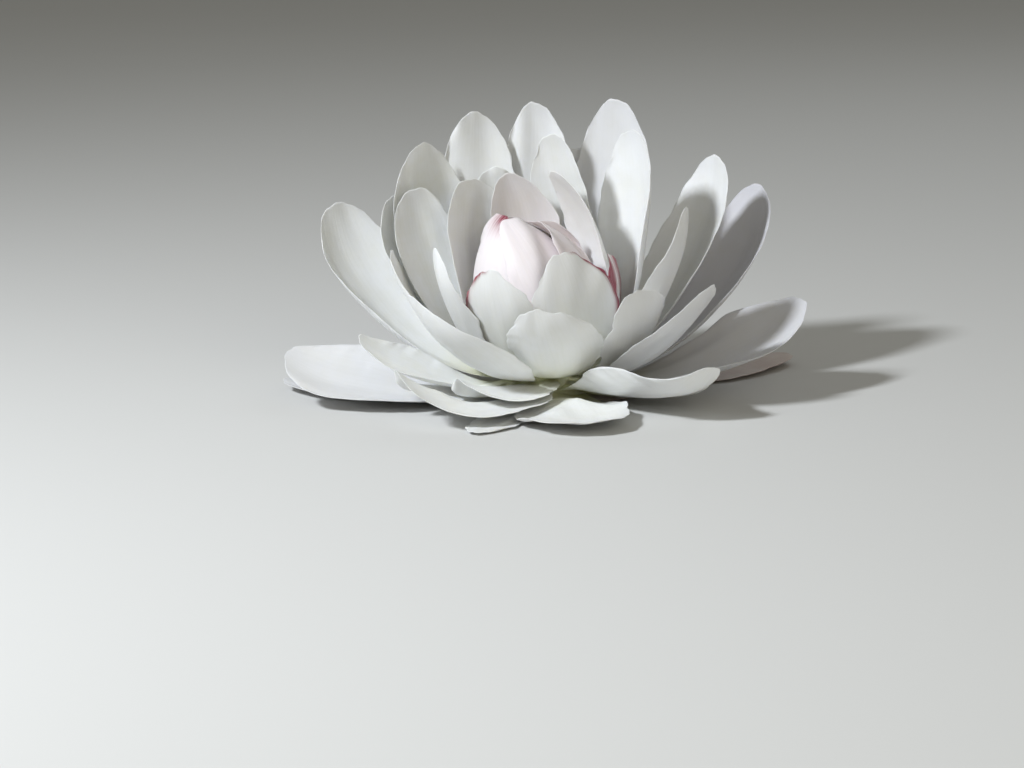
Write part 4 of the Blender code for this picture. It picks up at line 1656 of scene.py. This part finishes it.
@dataclass
class Studio:
    """Floor, lamps, sky and camera, in metres and degrees.

    Attributes:
        floor_radius: Radius of the floor, and floor_sides its number of sides.
        sky: Colour of the sky, and sky_strength its strength.
        camera_distance: Distance of the camera from the origin.
        camera_elevation: Degrees that it stands above the floor.
        camera_roll: Degrees that it is turned about its own axis.
        lens: Focal length, and sensor the width of the sensor, in millimetres.
        shift: Shift of the lens in shares of the frame's width.
        far: Distance where the view ends.
        target: Point that the lamps look at.
        lamps: The lamps.
    """

    floor_radius: float = 9.0
    floor_sides: int = 128
    sky: tuple = (0.915, 0.90, 0.815)
    sky_strength: float = 0.235
    camera_distance: float = 1.5
    camera_elevation: float = 12.0
    camera_roll: float = -1.2
    lens: float = 99.5
    shift: tuple = (-0.032, 0.010)
    sensor: float = 36.0
    far: float = 50.0
    target: tuple = (0.0, 0.0, 0.05)
    lamps: tuple = (
        Lamp("key", -54.0, 40.0, 1.6, 0.22, 28.0, (0.915, 0.955, 1.0)),
        Lamp("fill", 25.0, 24.0, 2.2, 1.8, 8.6, (1.0, 0.93, 0.76)),
        Lamp("back", 150.0, 45.0, 2.0, 0.8, 3.0, (0.90, 0.95, 1.0)),
    )

    def floor(self) -> None:
        """Round flat floor that the flower rests on."""
        count = self.floor_sides
        turn = np.arange(count) * FULL_TURN / count
        rim = np.stack([np.cos(turn), np.sin(turn), np.zeros(count)], axis=-1)
        points = np.vstack([rim * self.floor_radius, [[0.0, 0.0, 0.0]]])
        mesh = bpy.data.meshes.new("floor")
        faces = [(k, (k + 1) % count, count) for k in range(count)]
        mesh.from_pydata(points.tolist(), [], faces)
        mesh.materials.append(FloorFinish().build())
        item = bpy.data.objects.new("floor", mesh)
        bpy.context.scene.collection.objects.link(item)

    def world(self) -> None:
        """Even pale sky that fills the shadows."""
        world = bpy.data.worlds.new("studio")
        world.use_nodes = True
        sky = world.node_tree.nodes["Background"]
        sky.inputs["Color"].default_value = (*self.sky, 1.0)
        sky.inputs["Strength"].default_value = self.sky_strength
        bpy.context.scene.world = world

    def camera(self) -> None:
        """Camera low in front of the flower, turned slightly about its own axis."""
        data = bpy.data.cameras.new("camera")
        data.lens = self.lens
        data.sensor_width = self.sensor
        data.shift_x, data.shift_y = self.shift
        data.clip_end = self.far
        item = bpy.data.objects.new("camera", data)
        e = math.radians(self.camera_elevation)
        place = Vector((0.0, -math.cos(e), math.sin(e))) * self.camera_distance
        aim = Matrix.Rotation(math.pi / 2 - e, 4, "X")
        roll = Matrix.Rotation(math.radians(self.camera_roll), 4, "Z")
        bpy.context.scene.collection.objects.link(item)
        item.matrix_world = Matrix.Translation(place) @ aim @ roll
        bpy.context.scene.camera = item

    def build(self) -> None:
        """Sets up the studio."""
        self.floor()
        self.world()
        for lamp in self.lamps:
            lamp.build(self.target)
        bpy.context.scene.view_settings.view_transform = "Standard"
        self.camera()


# Every petal and sepal, from the middle outwards.
# Painted shade: petals given a shade strength in their Stain are darkened mauve-grey where the
# flower's own shadow or the light's fall-off leaves them dim.
PETALS = (
    PetalSpec("cone_petal_c", 80, 80, 1, 88, 60, 0, 0, 0, 1.7, Stain(blush=0.3)),
    PetalSpec("cone_petal_a", 206, 208, 1, 96, 78, 0, 0, 0, 1.7, Stain(tip=0.75, blush=0.12)),
    PetalSpec("cone_petal_d", 290, 293, 1, 91, 54, 0, 0, 0, 1.4, Stain(blush=0.18)),
    PetalSpec("cone_petal_b", 346, 344, 1, 83, 56, 0, 0, 0, 1.4, Stain(blush=0.3)),
    PetalSpec("cone_petal_e", 120, 120, 5, 84, 24, 0, 0, 0, 1.8, Stain(blush=0.25)),
    PetalSpec("cone_petal_f", 55, 55, 5, 84, 24, 0, 0, 0, 1.8, Stain(blush=0.3)),
    PetalSpec("inner_petal_a", 60, 12, 18, 119, 36, 3, 0, 0, 1.3, Stain(blush=0.1)),
    PetalSpec("inner_petal_b", 121, 96, 30, 116, 44, 3, 0, 0, 1.8, Stain(blush=0.22)),
    PetalSpec("inner_petal_c", 141, 152, 49, 113, 48, 5, 0, 3, 1.9),
    PetalSpec("inner_petal_d", 350, 350, 38, 76, 48, 4, 0, -4, 1.9,
              Stain(low_edge=0.9, outside=1.0)),
    PetalSpec("globe_petal_right", 286, 316, 42, 84, 62, 1, 0, -3, 1.3, Stain(high_edge=1.0)),
    PetalSpec("inner_petal_e", 72, 66, 27, 137, 40, 3, 0, 0, 2.0),
    PetalSpec("inner_petal_f", 27, 12, 60, 137, 48, 6, 0, -4, 2.0, Stain(painted_shade=0.12)),
    PetalSpec("inner_petal_g", 128, 125, 40, 119, 44, 5, 0, 3, 2.0),
    PetalSpec("globe_petal_left", 246, 248, 66, 78, 48, 2, 0, 2, 1.4, Stain(low_edge=0.9)),
    PetalSpec("upright_petal_d", 160, 168, 75, 108, 46, 4, 0, 14, 2.0),
    PetalSpec("upright_petal_e", 147, 148, 79, 128, 58, 7, 0, 6, 2.1),
    PetalSpec("upright_petal_a", 120, 123, 72, 143, 48, 7, 0, 3, 2.1, Stain(painted_shade=0.16)),
    PetalSpec("upright_petal_b", 91, 91, 68, 147, 42, 7, 0, 0, 2.1, Stain(painted_shade=0.2)),
    PetalSpec("upright_petal_c", 59, 54, 87, 147, 50, 7, 0, -2, 2.1, Stain(painted_shade=0.34)),
    PetalSpec("left_petal_a", 218, 213, 70, 86, 36, 4, 0, 7, 1.3),
    PetalSpec("globe_petal_front", 270, 286, 80, 59, 52, 5, 0, 0, 2.0),
    PetalSpec("right_petal_a", 333, 340, 86, 103, 46, 6, 0, -4, 1.6, Stain(painted_shade=0.22)),
    PetalSpec("upright_petal_f", 29, 22, 113, 117, 48, 7, 0, -4, 1.8, Stain(painted_shade=0.16)),
    PetalSpec("left_petal_b", 184, 196, 82, 79, 38, 5, 0, 5, 1.9),
    PetalSpec("upright_petal_g", 154, 158, 92, 100, 48, 6, 0, 6, 2.0),
    PetalSpec("right_petal_b", 303, 340, 88, 66, 50, 5, 0, -5, 1.9, Stain(painted_shade=0.2)),
    PetalSpec("right_petal_c", 323, 324, 108, 66, 48, 5, 0, -3, 2.0, Stain(painted_shade=0.4)),
    PetalSpec("left_petal_c", 222, 238, 90, 60, 60, 7, 0, 8, 2.1),
    PetalSpec("upright_petal_h", 152, 166, 132, 92, 58, 11, 0, 9, 2.0, Stain(painted_shade=0.08)),
    PetalSpec("outer_petal_b", 99, 102, 86, 120, 48, 6, 0, 0, 2.0, Stain(painted_shade=0.25)),
    PetalSpec("outer_petal_c", 74, 78, 83, 122, 48, 6, 0, 0, 2.0, Stain(painted_shade=0.3)),
    PetalSpec("outer_petal_a", 34, 18, 148, 95, 68, 9, 0, 2, 2.2, Stain(painted_shade=0.65)),
    PetalSpec("outer_petal_d", 47, 42, 128, 62, 50, 6, 0, 0, 2.0, Stain(painted_shade=0.4)),
    PetalSpec("outer_petal_e", 130, 128, 118, 74, 50, 6, 0, 0, 2.0, Stain(painted_shade=0.3)),
    PetalSpec("outer_petal_f", 357, 346, 141, 43, 62, 10, 0, -12, 2.1, Stain(painted_shade=0.5)),
    PetalSpec("left_petal_d", 202, 212, 104, 37, 36, 5, 0, 9, 1.7),
    PetalSpec("front_petal_a", 238, 256, 76, 17, 46, 4, 6, 8, 2.0),
    PetalSpec("left_petal_e", 228, 248, 108, 20, 66, 8, 4, 18, 2.0),
    PetalSpec("outer_petal_g", 182, 200, 140, 20, 56, 8, 0, 13, 2.1, Stain(painted_shade=0.32)),
    PetalSpec("outer_petal_h", 112, 108, 132, 54, 52, 7, 0, 0, 2.0, Stain(painted_shade=0.3)),
    PetalSpec("outer_petal_i", 66, 68, 135, 42, 52, 7, 0, 0, 2.0, Stain(painted_shade=0.35)),
    PetalSpec("right_petal_d", 315, 318, 122, 21, 56, 15, 4, 3, 1.7),
    PetalSpec("front_petal_b", 281, 281, 111, 7, 60, 3, 12, 0, 2.2),
    PetalSpec("outer_petal_j", 90, 88, 140, 28, 54, 6, 0, 0, 2.0, Stain(painted_shade=0.35)),
    PetalSpec("outer_petal_k", 140, 138, 140, 8, 52, 4, 0, 0, 2.0, Stain(painted_shade=0.35)),
    PetalSpec("outer_petal_l", 44, 38, 138, 9, 52, 4, 0, 0, 2.0, Stain(painted_shade=0.4)),
    PetalSpec("front_petal_c", 250, 252, 104, 2, 27, 0, 0, 0, 1.6),
    PetalSpec("outer_petal_m", 168, 180, 145, 4, 50, 2, 2, 0, 2.0, Stain(painted_shade=0.35)),
    PetalSpec("sepal_a", 28, 27, 155, 4, 54, 0, 0, 0, 1.7),
    PetalSpec("sepal_b", 118, 118, 138, 2, 54, 0, 0, 0, 1.7),
    PetalSpec("sepal_c", 218, 218, 56, 2, 34, 0, 0, 0, 1.7),
    PetalSpec("sepal_d", 342, 342, 50, 2, 28, 0, 0, 0, 1.7),
)


def main() -> None:
    """Builds the flower and its studio, then notes the sizes."""
    logging.basicConfig(level=logging.INFO, format="%(name)s %(message)s")
    family = RibFamily()
    Corolla(family, PETALS).build()
    Heart().build()
    Studio().build()
    LOG.info("%d pieces built", len(PETALS) + 3)


if __name__ == "__main__":
    main()
